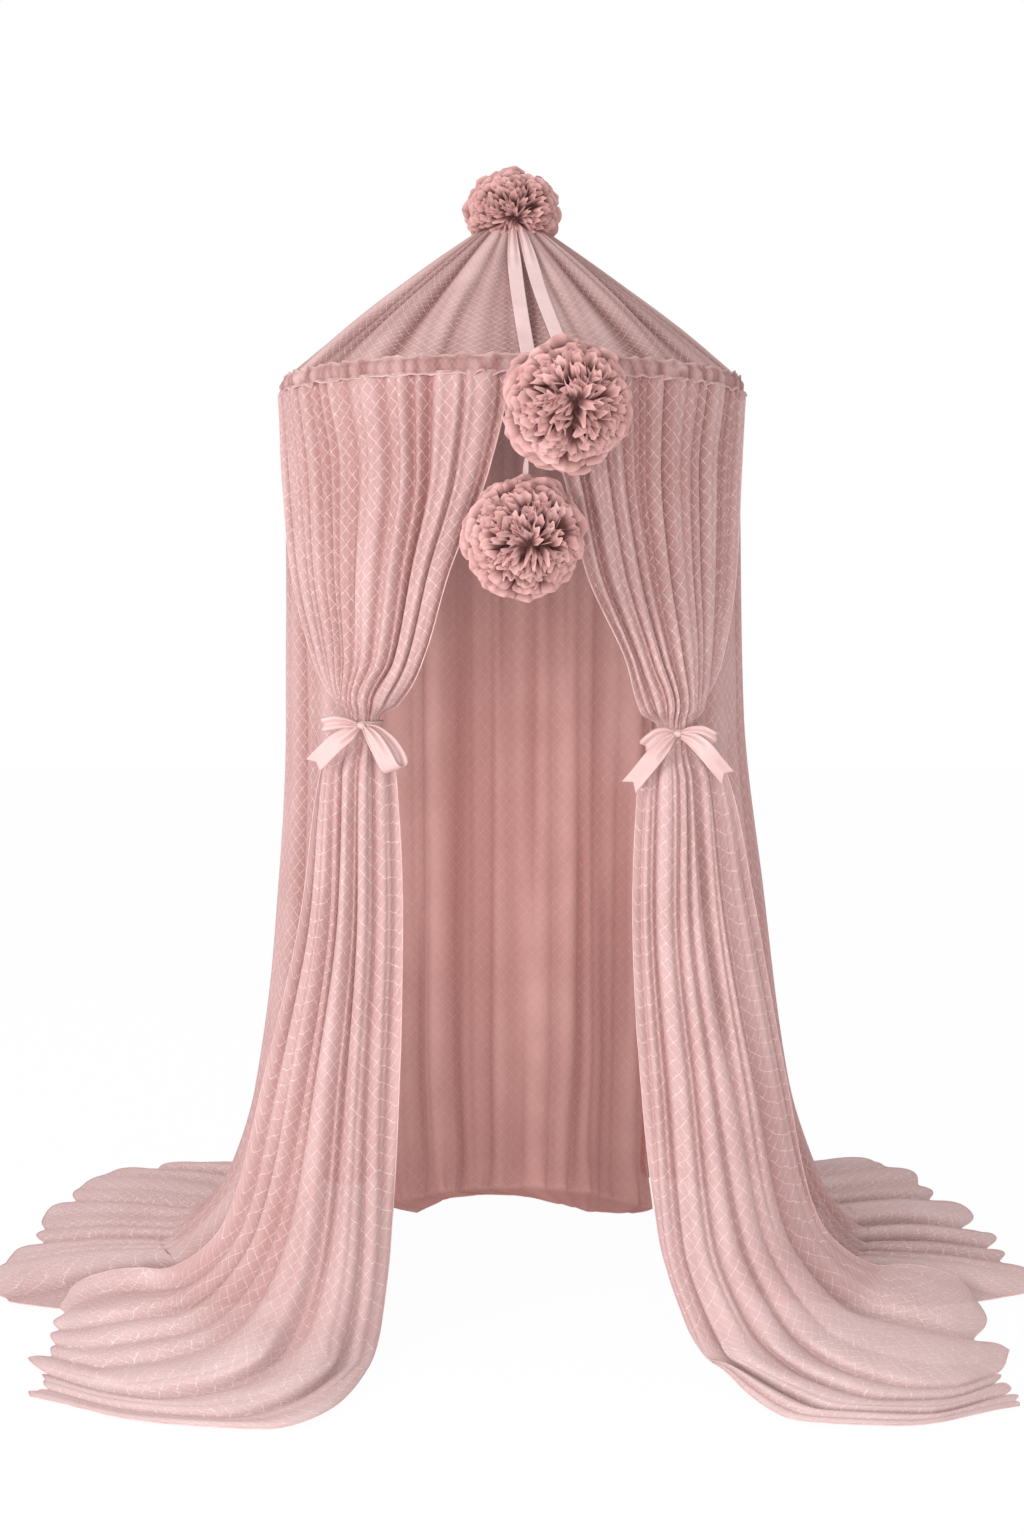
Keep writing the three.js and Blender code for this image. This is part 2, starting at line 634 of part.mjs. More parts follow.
for (const [place, bow] of Object.entries(bows)) {
  const { angle, radius, height } = bow.curtain.knot;
  const middle = polar(angle, radius, height);
  middle.x *= bow.side;
  const front = vec(0, -(bandOuter + seatGap + knotDepth / 2), 0);
  const knotCentre = middle.clone().add(front);
  add(`tie_band_${place}`, tieBand(middle), 'satin');
  add(`bow_${place}_knot`, bowKnot(knotCentre), 'satin');
  for (const [part, strip] of Object.entries(bow.strips)) {
    add(`bow_${place}_${part}`, bowStrip(knotCentre, strip, bow.side), 'satin');
  }
}

// Neck binding, webbing loop and hanging ring
const bindingInner = neckRadius + clothWall / 2 + seatGap;

function bindingSolid() {
  const low = neckHeight + clothWall;
  const section = [
    [bindingInner, low],
    [bindingInner + bindingWall, low],
    [bindingInner + bindingWall, low + bindingHeight],
    [bindingInner, low + bindingHeight],
    [bindingInner, low],
  ];
  const profile = section.map(([radius, up]) => new THREE.Vector2(radius, up));
  return new THREE.LatheGeometry(profile, roundSides).rotateX(Math.PI / 2);
}

add('neck_binding', bindingSolid(), 'tape');

const ringInner = ringRadius - ringWire;
const ringMiddle = hangHeight - ringInner;
const ring = new THREE.TorusGeometry(ringRadius, ringWire, wireSides, ringSides);
ring.rotateY(Math.PI / 2);
ring.translate(0, 0, ringMiddle);
add('hanging_ring', ring, 'steel');

// The webbing stands in the neck, leans in and passes over the bottom of the ring
const ringBottom = ringMiddle - ringRadius;
const loopRise = ringInner - Math.sqrt(ringInner ** 2 - (loopWidth / 2) ** 2);
const loopTop = ringBottom + ringWire + loopRise + seatGap + loopThickness / 2;
const loopRoom = neckRadius - clothWall / 2 - seatGap;
const loopFoot = Math.sqrt(loopRoom ** 2 - (loopWidth / 2) ** 2) - loopThickness / 2;
const loopHalf = [
  [loopFoot, neckHeight],
  [loopFoot, neckHeight + neckStand],
  [loopSpread, ringBottom - ringWire],
  [loopSpread, ringBottom],
  [loopSpread * loopShoulderShare, loopTop - loopSpread * loopDropShare],
];
const loopPath = [
  ...loopHalf.map(([out, up]) => vec(-out, 0, up)),
  vec(0, 0, loopTop),
  ...loopHalf.toReversed().map(([out, up]) => vec(out, 0, up)),
];
const loopWidths = loopPath.map(() => vec(0, loopWidth, 0));
add('hanging_loop', ribbonSolid(loopPath, loopWidths, loopThickness), 'tape');

// Height of the top of the roof cloth, on the crest of its folds
function roofTop(radius) {
  const place = (hoopRadius - radius) / (hoopRadius - neckRadius) * roofRows;
  const i = Math.min(Math.max(Math.floor(place), 0), roofRows - 1);
  const rowTop = (row) => {
    const share = row / roofRows;
    const { radius: rowRadius, height } = roofProfile(share);
    return height + roofFoldDepth * Math.sin(Math.PI * share) * rowRadius / hoopRadius;
  };
  const low = rowTop(i);
  const rise = rowTop(i + 1) - low;
  const rowSpan = (hoopRadius - neckRadius) / roofRows;
  return low + rise * (place - i) + clothWall / 2 * Math.hypot(1, rise / rowSpan);
}

// Ribbons over the roof: from under the top pom to the rim, each at its own plan angles
const pendants = {
  1: {
    neckAngle: 15,
    rimAngle: 11.7,
    pomRight: 71,
    pomFront: 445,
    pomHeight: 1293,
    twist: 0,
  },
  2: {
    neckAngle: 0.5,
    rimAngle: 3.6,
    pomRight: 16,
    pomFront: 393,
    pomHeight: 1124,
    twist: 75,
  },
};
const pomCentre = ({ pomRight, pomFront, pomHeight }) => vec(pomRight, -pomFront, pomHeight);
const ribbonLift = seatGap + ribbonThickness;
const rimTurn = hoopRadius + casingReach + ruffleDepth + seatGap + ribbonThickness / 2;
const rimTurnHeight = rimHeight + casingHalfHeight - ribbonThickness;
const ribbonSteps = 6;

// The line that a ribbon folds along where it leaves the rim
function rimFold(pendant) {
  const hinge = polar(pendant.rimAngle, rimTurn, rimTurnHeight);
  const axis = hinge.clone().sub(pomCentre(pendant));
  const reach = axis.length();
  axis.normalize();
  const across = vec(1, 0, 0);
  across.addScaledVector(axis, -across.dot(axis)).normalize();
  return { hinge, axis, reach, across };
}

function roofRibbon(pendant) {
  const { neckAngle, rimAngle } = pendant;
  const inner = bindingInner + bindingWall + ribbonHang;
  const points = [];
  const widths = [];
  for (let i = 0; i <= ribbonSteps; i += 1) {
    const share = i / ribbonSteps;
    const radius = inner + (hoopRadius - inner) * share;
    const opened = THREE.MathUtils.smoothstep(share, 0, ribbonSpreadShare);
    const spread = ribbonNeckShare + (1 - ribbonNeckShare) * opened;
    points.push(polar(neckAngle + (rimAngle - neckAngle) * share, radius, roofTop(radius) + ribbonLift));
    widths.push(polar(rimAngle + 90, ribbonWidth * spread, 0));
  }
  const { hinge, across } = rimFold(pendant);
  points.push(hinge);
  widths.push(across.multiplyScalar(ribbonWidth));
  return ribbonSolid(points, widths, ribbonThickness);
}

// A ball of ruffles, its poles on the ribbon that it hangs by, with a round pocket for the ribbon
const pocketSides = 12;
const pocketRoom = Math.hypot(ribbonWidth, ribbonThickness) / 2 + seatGap;
const pocketRadius = pocketRoom / Math.cos(Math.PI / pocketSides);

function pomBall(centre, axis) {
  const ball = new THREE.SphereGeometry(1, pomLobes * 2, pomLobes);
  const position = ball.attributes.position;
  for (let i = 0; i < position.count; i += 1) {
    const point = vec(position.getX(i), position.getY(i), position.getZ(i));
    const turn = Math.atan2(point.z, point.x);
    const row = Math.round(Math.acos(point.y) / Math.PI * pomLobes);
    const flat = Math.hypot(point.x, point.z);
    const wave = (1 - Math.cos(pomLobes * turn + Math.PI * row)) / 2;
    point.multiplyScalar(pomRadius * (1 - pomLobeShare * wave * flat));
    position.setXYZ(i, point.x, point.y, point.z);
  }
  const pocket = new THREE.CylinderGeometry(pocketRadius, pocketRadius, ribbonPocket * 2, pocketSides);
  pocket.translate(0, pomRadius, 0);
  const cut = cutAway(ball, pocket);
  cut.applyQuaternion(new THREE.Quaternion().setFromUnitVectors(vec(0, 1, 0), axis));
  return cut.translate(...centre.toArray());
}

// The hanging stretch: from the rim into the pocket of its pom, turning edge-on where it twists
function dropRibbon(pendant) {
  const { hinge, axis, reach, across } = rimFold(pendant);
  const length = reach - pomRadius + ribbonPocket - seatGap;
  const start = ribbonThickness / 2 + seatGap;
  const points = [];
  const widths = [];
  for (let i = 0; i <= ribbonSteps; i += 1) {
    const share = i / ribbonSteps;
    points.push(hinge.clone().addScaledVector(axis, -(start + (length - start) * share)));
    const turn = rad(pendant.twist) * THREE.MathUtils.smoothstep(share, ...twistShares);
    widths.push(across.clone().applyAxisAngle(axis, turn).multiplyScalar(ribbonWidth));
  }
  return { solid: ribbonSolid(points, widths, ribbonThickness), axis };
}

for (const [number, pendant] of Object.entries(pendants)) {
  add(`ribbon_${number}_roof`, roofRibbon(pendant), 'satin');
  const { solid, axis } = dropRibbon(pendant);
  add(`ribbon_${number}_drop`, solid, 'satin');
  add(`pom_${number}`, pomBall(pomCentre(pendant), axis), 'petals');
}

// Top pom: a flat-bottomed ball of ruffles round the neck, with a well for the ring and its hook
const topPomSteps = pomLobes * 3;
const wellRadius = ringRadius + ringWire + seatGap;
const topPomBore = bindingInner + bindingWall + seatGap;
const topPomSeat = ribbonLift + ribbonThickness + seatGap;
const topPomShares = [[0.9, -0.72], [1, -0.3], [0.99, 0.1], [0.86, 0.52], [0.6, 0.86], [0.36, 1]];

function topPomRing(index) {
  const degrees = 360 * index / topPomSteps;
  const lobe = 1 - pomLobeShare * (1 - Math.cos(tau * pomLobes * index / topPomSteps)) / 2;
  const outer = topPomShares.map(([out, up]) => (
    [out * topPomRadius * lobe, topPomHeight + up * topPomRise]
  ));
  const foot = outer[0][0] - topPomSeat;
  const section = [
    ...outer,
    [wellRadius, topPomHeight + topPomRise],
    [wellRadius, topPomHeight + topPomRise * wellFloorShare],
    [topPomBore, neckHeight + clothWall + bindingHeight + seatGap],
    [topPomBore, roofTop(topPomBore) + topPomSeat],
    [foot, roofTop(foot) + topPomSeat],
  ];
  return section.map(([out, up]) => polar(degrees, out, up));
}

add('pom_top', ringSolid(Array.from({ length: topPomSteps }, (unused, i) => topPomRing(i))), 'petals');

export default canopy;
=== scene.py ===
# %% [markdown]
# A hanging bed canopy, dressed around its CAD frame
#
# The frame holds the plain solids of the canopy and their places. This notebook builds what the
# eye sees over them: sheer lace in its folds, a puckered rim, satin ribbons and bows, and poms made
# of gathered petals. All lengths below are millimetres above the floor, as a maker would measure
# them, and `new_piece` turns them into Blender's metres.

import math

import bmesh
import bpy
import numpy as np
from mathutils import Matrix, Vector


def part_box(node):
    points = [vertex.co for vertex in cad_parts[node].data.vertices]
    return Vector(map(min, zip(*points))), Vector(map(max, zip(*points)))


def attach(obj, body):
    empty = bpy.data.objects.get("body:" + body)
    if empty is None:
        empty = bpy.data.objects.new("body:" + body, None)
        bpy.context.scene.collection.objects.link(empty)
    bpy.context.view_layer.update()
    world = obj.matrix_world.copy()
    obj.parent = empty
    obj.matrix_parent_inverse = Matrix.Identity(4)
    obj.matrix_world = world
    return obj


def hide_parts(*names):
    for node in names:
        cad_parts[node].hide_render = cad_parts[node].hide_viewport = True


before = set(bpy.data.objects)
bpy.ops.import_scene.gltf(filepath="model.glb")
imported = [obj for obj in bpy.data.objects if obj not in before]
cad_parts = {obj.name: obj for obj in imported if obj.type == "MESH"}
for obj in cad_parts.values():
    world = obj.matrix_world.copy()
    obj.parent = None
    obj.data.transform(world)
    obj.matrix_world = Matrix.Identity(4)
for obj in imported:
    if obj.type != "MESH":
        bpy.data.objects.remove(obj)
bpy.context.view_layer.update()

# %% [markdown]
# The camera comes first, because every later choice is judged through it. The picture is upright,
# so the long side of the 36 mm sensor is its height. The lens is a touch shorter than a normal
# one, at chest height, tilted down by a few degrees.

# %% Camera
MM = 0.001
HOOK_HEIGHT = 1688
CAMERA_BACK = 3000
CAMERA_HEIGHT = 1044
CAMERA_TILT = 85
CAMERA_REACH = 60
LENS = 45.6

camera = bpy.data.objects.new("camera", bpy.data.cameras.new("camera"))
camera.data.lens = LENS
camera.data.clip_end = CAMERA_REACH
camera.location = (0, -CAMERA_BACK * MM, (CAMERA_HEIGHT - HOOK_HEIGHT) * MM)
camera.rotation_euler = (math.radians(CAMERA_TILT), 0, 0)
bpy.context.collection.objects.link(camera)
bpy.context.scene.camera = camera
print("camera:", LENS, "mm lens at", CAMERA_BACK, "mm")

# %% [markdown]
# The sizes are those of the frame's solids, so that each soft piece lies where its solid does.

# %% Sizes
HOOP_RADIUS = 340
RIM_HEIGHT = 1359
CASING_HALF = 8.6
SEAM_GAP = 0.3
LAYER_GAP = 6
NECK_RADIUS = 30
NECK_HEIGHT = 1609
BUNDLE_RADIUS = 26
BUNDLE_WRAP = 130
BAND_HEIGHT = 11
CLOTH = 3
CURTAIN_TOP = RIM_HEIGHT - CASING_HALF - SEAM_GAP
OUTER = 1 + LAYER_GAP / HOOP_RADIUS
INNER = 1 - LAYER_GAP / HOOP_RADIUS
print("hoop", 2 * HOOP_RADIUS, "mm across; the curtains hang from", CURTAIN_TOP, "mm")

# %% [markdown]
# The canopy is round, so `polar` places a point by its angle away from the front, its distance from
# the axis and its height. Cloth has no corners, so `smooth_through` draws a smooth curve through a
# few values that were measured, and `smooth_line` does so with points.

# %% Points and smooth lines
def polar(degrees, radius, height):
    angle, radius, height = np.broadcast_arrays(np.radians(degrees), radius, height)
    return np.stack([radius * np.sin(angle), -radius * np.cos(angle), height], -1)


def smooth_through(values, share):
    """A smooth value through evenly spaced values, at shares from 0 to 1."""
    values = np.asarray(values, float)
    last = len(values) - 1
    place = np.clip(share, 0, 1) * last
    i = np.minimum(place.astype(int), last - 1)
    t = place - i
    b, c = values[i], values[i + 1]
    a = np.where(i > 0, values[np.maximum(i - 1, 0)], 2 * b - c)
    d = np.where(i < last - 1, values[np.minimum(i + 2, last)], 2 * c - b)
    slope, next_slope = (c - a) / 2, (d - b) / 2
    bend = 3 * (c - b) - 2 * slope - next_slope
    turn = 2 * (b - c) + slope + next_slope
    return b + slope * t + bend * t**2 + turn * t**3


def smooth_line(points, share):
    """A smooth line through points, at shares from 0 to 1."""
    columns = np.asarray(points, float).T
    return np.stack([smooth_through(column, share) for column in columns], -1)


def summed(steps):
    """The running sum of steps, from 0."""
    return np.concatenate([[0], np.cumsum(steps)])


def runs(rows, axis):
    """Distance along the rows or columns of a cloth, from its first point."""
    step = np.linalg.norm(np.diff(rows, axis=axis), axis=-1)
    start = np.zeros_like(np.take(step, [0], axis))
    return np.concatenate([start, np.cumsum(step, axis)], axis)


print("a quarter turn to the right of the axis lies at", polar(90, HOOP_RADIUS, 0).round(1))

# %% [markdown]
# A few small mesh helpers carry the whole build. `grid_mesh` joins rows of points into faces and
# gives them a UV map in metres of flat cloth, so that a pattern keeps its real scale on the folds.
# `stand_for` parents a piece to the body it moves with and hides the plain solid it stands for.

# %% Mesh helpers
def new_piece(name, points, faces, material):
    """A smooth-shaded piece from points in millimetres above the floor."""
    mesh = bpy.data.meshes.new(name)
    places = (np.asarray(points, float) - (0, 0, HOOK_HEIGHT)) * MM
    mesh.from_pydata(places.tolist(), [], faces)
    mesh.shade_smooth()
    mesh.materials.append(material)
    piece = bpy.data.objects.new(name, mesh)
    bpy.context.collection.objects.link(piece)
    return piece


def grid_faces(down, across, wrap=False, ring=False):
    """Faces between rows of points.

    wrap joins the last column to the first, and ring the last row to the first."""
    return [
        (i * across + j, (i + 1) % down * across + j,
         (i + 1) % down * across + (j + 1) % across, i * across + (j + 1) % across)
        for i in range(down if ring else down - 1)
        for j in range(across if wrap else across - 1)
    ]


def flat_uv(piece, u, v):
    """UVs in metres of flat cloth, from millimetres across and down for each point."""
    layer = piece.data.uv_layers.new(name="UVMap")
    across = u.shape[1]
    corners = np.zeros(len(piece.data.loops), int)
    piece.data.loops.foreach_get("vertex_index", corners)
    flat = np.stack([u.ravel()[corners], v.ravel()[corners]], -1)
    # the face that closes a ring has its far side one full turn on
    faces = corners.reshape(-1, 4)
    closing = (faces[:, 0] % across == across - 1) & (faces[:, 3] % across == 0)
    flat.reshape(-1, 4, 2)[closing, 2:, 0] += u[0, -1] + u[0, 1] - 2 * u[0, 0]
    layer.data.foreach_set("uv", (flat * MM).ravel().astype(np.float32))


def grid_mesh(name, rows, material, u, v, wrap=False):
    """A cloth from an array of rows, columns and coordinates, and its flat measures u and v."""
    size = rows.shape[:2]
    piece = new_piece(name, rows.reshape(-1, 3), grid_faces(*size, wrap), material)
    v = v if v.ndim == 2 else v[:, None]
    flat_uv(piece, np.broadcast_to(u, size), np.broadcast_to(v, size))
    return piece


def closed_ring(name, section, steps, material, centre=(0, 0, 0), swell=0):
    """A closed ring: a section of distances and heights carried round the axis."""
    turn = np.linspace(0, 360, steps, endpoint=False)[:, None]
    rows = polar(turn, section[:, 0] + swell, section[:, 1]) + centre
    faces = grid_faces(steps, len(section), wrap=True, ring=True)
    return new_piece(name, rows.reshape(-1, 3), faces, material)


def mark(piece, **values):
    """Store a value for each point, under the name that a material reads."""
    for label, value in values.items():
        attribute = piece.data.attributes.new(label, "FLOAT", "POINT")
        attribute.data.foreach_set("value", np.asarray(value, np.float32).ravel())


def stand_for(piece, node, body="root"):
    """Let a piece move with a body, and hide the solid whose place it takes."""
    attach(piece, body)
    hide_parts(node)


print("mesh helpers ready")

# %% [markdown]
# Materials are node trees, and a few lines make nodes shorter to write. `wire` adds a node and
# fills or joins its inputs. The others are the nodes that come back most: sums, ranges, noise and
# mixed colours. The sums work in shader trees and in Geometry Nodes.

# %% Node helpers
FLOAT, VECTOR, COLOUR = "NodeSocketFloat", "NodeSocketVector", "NodeSocketColor"
WHITE = (1, 1, 1, 1)


def linear(red, green, blue):
    """A screen colour from 0 to 255, as the light values that shaders work in."""
    values = [c / 255 for c in (red, green, blue)]
    return (*[c / 12.92 if c <= 0.04045 else ((c + 0.055) / 1.055) ** 2.4 for c in values], 1)


def wire(tree, kind, inputs=None, **settings):
    node = tree.nodes.new(kind)
    for key, value in settings.items():
        setattr(node, key, value)
    for key, value in (inputs or {}).items():
        if isinstance(value, bpy.types.NodeSocket):
            tree.links.new(value, node.inputs[key])
        else:
            node.inputs[key].default_value = value
    return node


def maths(tree, operation, *values):
    return wire(tree, "ShaderNodeMath", dict(enumerate(values)), operation=operation).outputs[0]


def times(tree, first, second):
    return maths(tree, "MULTIPLY", first, second)


def scaled(tree, value, factor, start):
    return maths(tree, "MULTIPLY_ADD", value, factor, start)


def vector(tree, operation, *values, scale=None):
    """A sum on vectors; scale is the number that SCALE works with."""
    inputs = dict(enumerate(values))
    if scale is not None:
        inputs["Scale"] = scale
    node = wire(tree, "ShaderNodeVectorMath", inputs, operation=operation)
    return node.outputs["Value" if operation in ("DOT_PRODUCT", "LENGTH") else "Vector"]


def parts(tree, whole):
    return wire(tree, "ShaderNodeSeparateXYZ", {0: whole}).outputs


def combined(tree, *values):
    return wire(tree, "ShaderNodeCombineXYZ", dict(enumerate(values))).outputs[0]


def ranged(tree, value, start, end, first=0.0, last=1.0, smooth=False):
    """A value that goes from first to last as another goes from start to end."""
    return wire(tree, "ShaderNodeMapRange", {
        "Value": value, "From Min": start, "From Max": end, "To Min": first, "To Max": last},
        interpolation_type="SMOOTHSTEP" if smooth else "LINEAR").outputs[0]


def mixed(tree, share, first, second):
    """One colour that turns into another as the share goes from 0 to 1."""
    return wire(tree, "ShaderNodeMix", {0: share, 6: first, 7: second},
                data_type="RGBA").outputs[2]


def noise(tree, place, scale, detail=2.0, rough=0.5):
    return wire(tree, "ShaderNodeTexNoise", {
        "Vector": place, "Scale": scale, "Detail": detail, "Roughness": rough}).outputs


print("node helpers ready")

# %% [markdown]
# What more than one material uses is a shader group, built once by `shader_group` and placed by
# `use_group`. Every material ends in the same way: `surface_from` joins a colour, a roughness and a
# relief to the surface, and sets the rest as plain values.

# %% Material helpers
def shader_group(name, inputs, output, kind):
    """A group with its sockets made: returns it with the sockets to read and the one to fill."""
    group = bpy.data.node_groups.new(name, "ShaderNodeTree")
    for label, (socket_kind, value) in inputs.items():
        socket = group.interface.new_socket(label, in_out="INPUT", socket_type=socket_kind)
        if value is not None:
            socket.default_value = value
    group.interface.new_socket(output, in_out="OUTPUT", socket_type=kind)
    read = group.nodes.new("NodeGroupInput").outputs
    return group, read, group.nodes.new("NodeGroupOutput").inputs[0]


def use_group(tree, group, inputs):
    return wire(tree, "ShaderNodeGroup", inputs, node_tree=group).outputs[0]


def new_material(name):
    material = bpy.data.materials.new(name)
    material.use_nodes = True
    return material, material.node_tree


def own_place(tree):
    return wire(tree, "ShaderNodeTexCoord").outputs["Object"]


def point_value(tree, label):
    return wire(tree, "ShaderNodeAttribute", attribute_name=label).outputs["Fac"]


def set_plain(tree, **values):
    for label, value in values.items():
        tree.nodes["Principled BSDF"].inputs[label.replace("_", " ")].default_value = value


def surface_from(tree, colour, rough, relief, **plain):
    """Join the surface's sockets; relief is a height, the bump's strength and its distance."""
    surface = tree.nodes["Principled BSDF"]
    bump = wire(tree, "ShaderNodeBump", dict(zip(("Height", "Strength", "Distance"), relief)))
    tree.links.new(colour, surface.inputs["Base Color"])
    tree.links.new(rough, surface.inputs["Roughness"])
    tree.links.new(bump.outputs[0], surface.inputs["Normal"])
    set_plain(tree, **plain)


print("material helpers ready")

# %% [markdown]
# The lace is a fine net with a lattice of thicker thread stitched on it. The lattice could be
# modelled, but thousands of threads a millimetre wide would drown the mesh, so a shared shader
# group draws it on the flat cloth's UV map. Two sets of slanting lines cross into diamonds, and a
# little noise makes each line wander and fade as real stitching does. Between the diamonds the net
# shows as a broken web, which is crackled more where the cloth lies crushed. The group puts out one
# mask for both.

# %% Lattice thread
lattice, read, fill = shader_group("lattice_thread", {
    "Cloth": (VECTOR, None), "Diamond Width": (FLOAT, 0.02), "Diamond Height": (FLOAT, 0.022),
    "Line": (FLOAT, 0.056), "Wander": (FLOAT, 0.002), "Crackle": (FLOAT, 0.5)}, "Thread", FLOAT)
wobble = vector(lattice, "SUBTRACT", noise(lattice, read["Cloth"], 55.0, 1.0)["Color"],
                (0.5, 0.5, 0.5))
moved = vector(lattice, "SCALE", wobble, scale=read["Wander"])
split = parts(lattice, vector(lattice, "ADD", read["Cloth"], moved))
along = maths(lattice, "DIVIDE", split["X"], read["Diamond Width"])
down = maths(lattice, "DIVIDE", split["Y"], read["Diamond Height"])
near = [maths(lattice, "PINGPONG", maths(lattice, slant, along, down), 0.5)
        for slant in ("ADD", "SUBTRACT")]
thread = maths(lattice, "MAXIMUM", *[
    ranged(lattice, line, 0.0, read["Line"], 1.0, 0.0, smooth=True) for line in near])
worn = noise(lattice, read["Cloth"], 140.0)[0]
web = wire(lattice, "ShaderNodeTexVoronoi", {"Vector": read["Cloth"], "Scale": 150.0},
           feature="DISTANCE_TO_EDGE", voronoi_dimensions="2D").outputs[0]
crackle = ranged(lattice, web, 0.0, 0.09, read["Crackle"], 0.0)
stitches = maths(lattice, "MAXIMUM", thread, times(lattice, crackle, worn))
lattice.links.new(times(lattice, stitches, ranged(lattice, worn, 0.38, 0.6, 0.3)), fill)
print("lattice_thread:", len(lattice.nodes), "nodes")

# %% [markdown]
# Two more shared effects: the net's own threads, too fine to count, and the slight clouding that
# dye leaves in any cloth. The first feeds bump, the second the colour.

# %% Net and dye
net, read, fill = shader_group(
    "fine_net", {"Cloth": (VECTOR, None), "Threads": (FLOAT, 700.0)}, "Height", FLOAT)
split = parts(net, read["Cloth"])
waves = [maths(net, "SINE", times(net, split[axis], times(net, read["Threads"], math.tau)))
         for axis in ("X", "Y")]
net.links.new(scaled(net, times(net, *waves), 0.5, 0.5), fill)

dye, read, fill = shader_group("uneven_dye", {
    "Place": (VECTOR, None), "Colour": (COLOUR, WHITE), "Deeper": (COLOUR, WHITE),
    "Scale": (FLOAT, 9.0)}, "Colour", COLOUR)
share = ranged(dye, noise(dye, read["Place"], read["Scale"], 4.0, 0.6)[0], 0.35, 0.65)
dye.links.new(mixed(dye, share, read["Colour"], read["Deeper"]), fill)


def dyed(tree, colour, deeper, scale=9.0):
    """A colour clouded with a deeper one, at the piece's own coordinates."""
    return use_group(tree, dye, {"Place": own_place(tree), "Scale": scale, "Colour": colour,
                                 "Deeper": deeper})


print("fine_net and uneven_dye ready")

# %% [markdown]
# The lace material reads three things: the flat cloth's UV map, a `fold` value that is 0 in a
# crease and 1 on a crest, and a `laid` value that rises where the cloth lies on the floor. Cloth
# in a crease lies in more layers and in shade, and both are painted: a crease takes a darker
# colour, painted shade, which is a little lighter where the cloth lies on the floor. Sheer net lets
# a little light through, so the net has an alpha below 1 while its thread is solid. Inside the tent
# light bounces from wall to wall and comes back warmer, and this is painted too: the material
# learns from
# Backfacing which side it shows, and gives the inner side a warmer pair of colours, painted bounce
# light and shade, and a fainter lattice.

# %% Lace material
WARM_SHEEN = linear(238, 184, 180)
DEEPER_DYE = 0.25
LATTICE_INSIDE = 0.27
NET_RELIEF = 0.3


def lace(name, crest, crease, thread, lying=None, inside=None, diamond=(0.0185, 0.0215),
         opaque=0.93, strength=0.6):
    """A net with its lattice.

    crease is the colour painted into creases as shade. lying is the crests' colour on the floor,
    and inside is the inner side's crest and crease, painted warm bounce light and shade."""
    material, tree = new_material(name)
    cloth = wire(tree, "ShaderNodeUVMap", uv_map="UVMap").outputs[0]
    fold, laid = point_value(tree, "fold"), point_value(tree, "laid")
    if inside:
        behind = wire(tree, "ShaderNodeNewGeometry").outputs["Backfacing"]
        # the inner side's colours are painted bounce light and shade
        crest, crease = [mixed(tree, behind, outer, inner)
                         for outer, inner in zip((crest, crease), inside)]
        strength = scaled(tree, behind, LATTICE_INSIDE - strength, strength)
    mask = use_group(tree, lattice, {
        "Cloth": cloth, "Diamond Width": diamond[0], "Diamond Height": diamond[1],
        "Wander": scaled(tree, laid, 0.007, 0.0035), "Crackle": scaled(tree, laid, 0.8, 0.45)})
    top = mixed(tree, laid, crest, lying or crest)
    clouded = dyed(tree, top, mixed(tree, DEEPER_DYE, top, crease))
    # foot is the crease colour, painted shade, a little lighter where the cloth lies on the floor
    foot = mixed(tree, times(tree, laid, 0.25), crease, top)
    stitched = times(tree, mask, scaled(tree, laid, 0.2, strength))
    colour = mixed(tree, stitched, mixed(tree, fold, foot, clouded), thread)
    threads = use_group(tree, net, {"Cloth": cloth})
    height = maths(tree, "ADD", mask, times(tree, threads, NET_RELIEF))
    surface_from(tree, colour, scaled(tree, mask, -0.2, 0.9), (height, 0.5, 0.0006),
                 Sheen_Weight=0.3, Sheen_Roughness=0.45, Sheen_Tint=WARM_SHEEN,
                 Specular_IOR_Level=0.25)
    tree.links.new(scaled(tree, mask, 1 - opaque, opaque),
                   tree.nodes["Principled BSDF"].inputs["Alpha"])
    return material


# each crease colour below is painted shade, and each inside pair is painted bounce light and shade
curtain_lace = lace("curtain_lace", linear(202, 168, 166), linear(156, 108, 104),
                    linear(238, 222, 221), lying=linear(212, 183, 181),
                    inside=(linear(226, 180, 173), linear(176, 116, 108)))
roof_lace = lace("roof_lace", linear(231, 196, 193), linear(118, 72, 68), linear(240, 220, 217),
                 inside=(linear(231, 182, 175), linear(150, 92, 86)),
                 diamond=(0.017, 0.014), opaque=0.96, strength=0.7)
back_cloth = lace("back_cloth", linear(206, 168, 165), linear(160, 110, 106),
                  linear(240, 208, 203), strength=0.45,
                  inside=(linear(239, 189, 182), linear(166, 100, 92)))
print("lace materials:", curtain_lace.name, roof_lace.name, back_cloth.name)

# %% [markdown]
# A gathered cloth has broad rounded folds with narrow creases between them. A cloth simulation
# could find them, but it would not land them where this canopy has them. So each crease is a line
# of its own that wanders a little on its way down. The main creases run the whole length, the
# others fade in and out, and the depth between two creases rounds off to a soft crest. Everything
# random comes from a fixed seed, so that the cloth falls the same way on each run.

# %% Creases
def ripples(seed, across, down, terms=6):
    """A gentle random landscape on a closed ring of cloth, mostly from -1 to 1."""
    random = np.random.default_rng(seed)
    fu = np.maximum(np.rint(random.uniform(0.4, 1.0, terms) * across), 1)
    fv = random.uniform(0.3, 1.0, terms) * down * random.choice([-1, 1], terms)
    start = random.uniform(0, math.tau, terms)

    def height(u, v):
        waves = [np.sin(math.tau * (fu[k] * u + fv[k] * v) + start[k]) for k in range(terms)]
        return sum(waves) / math.sqrt(terms)

    return height


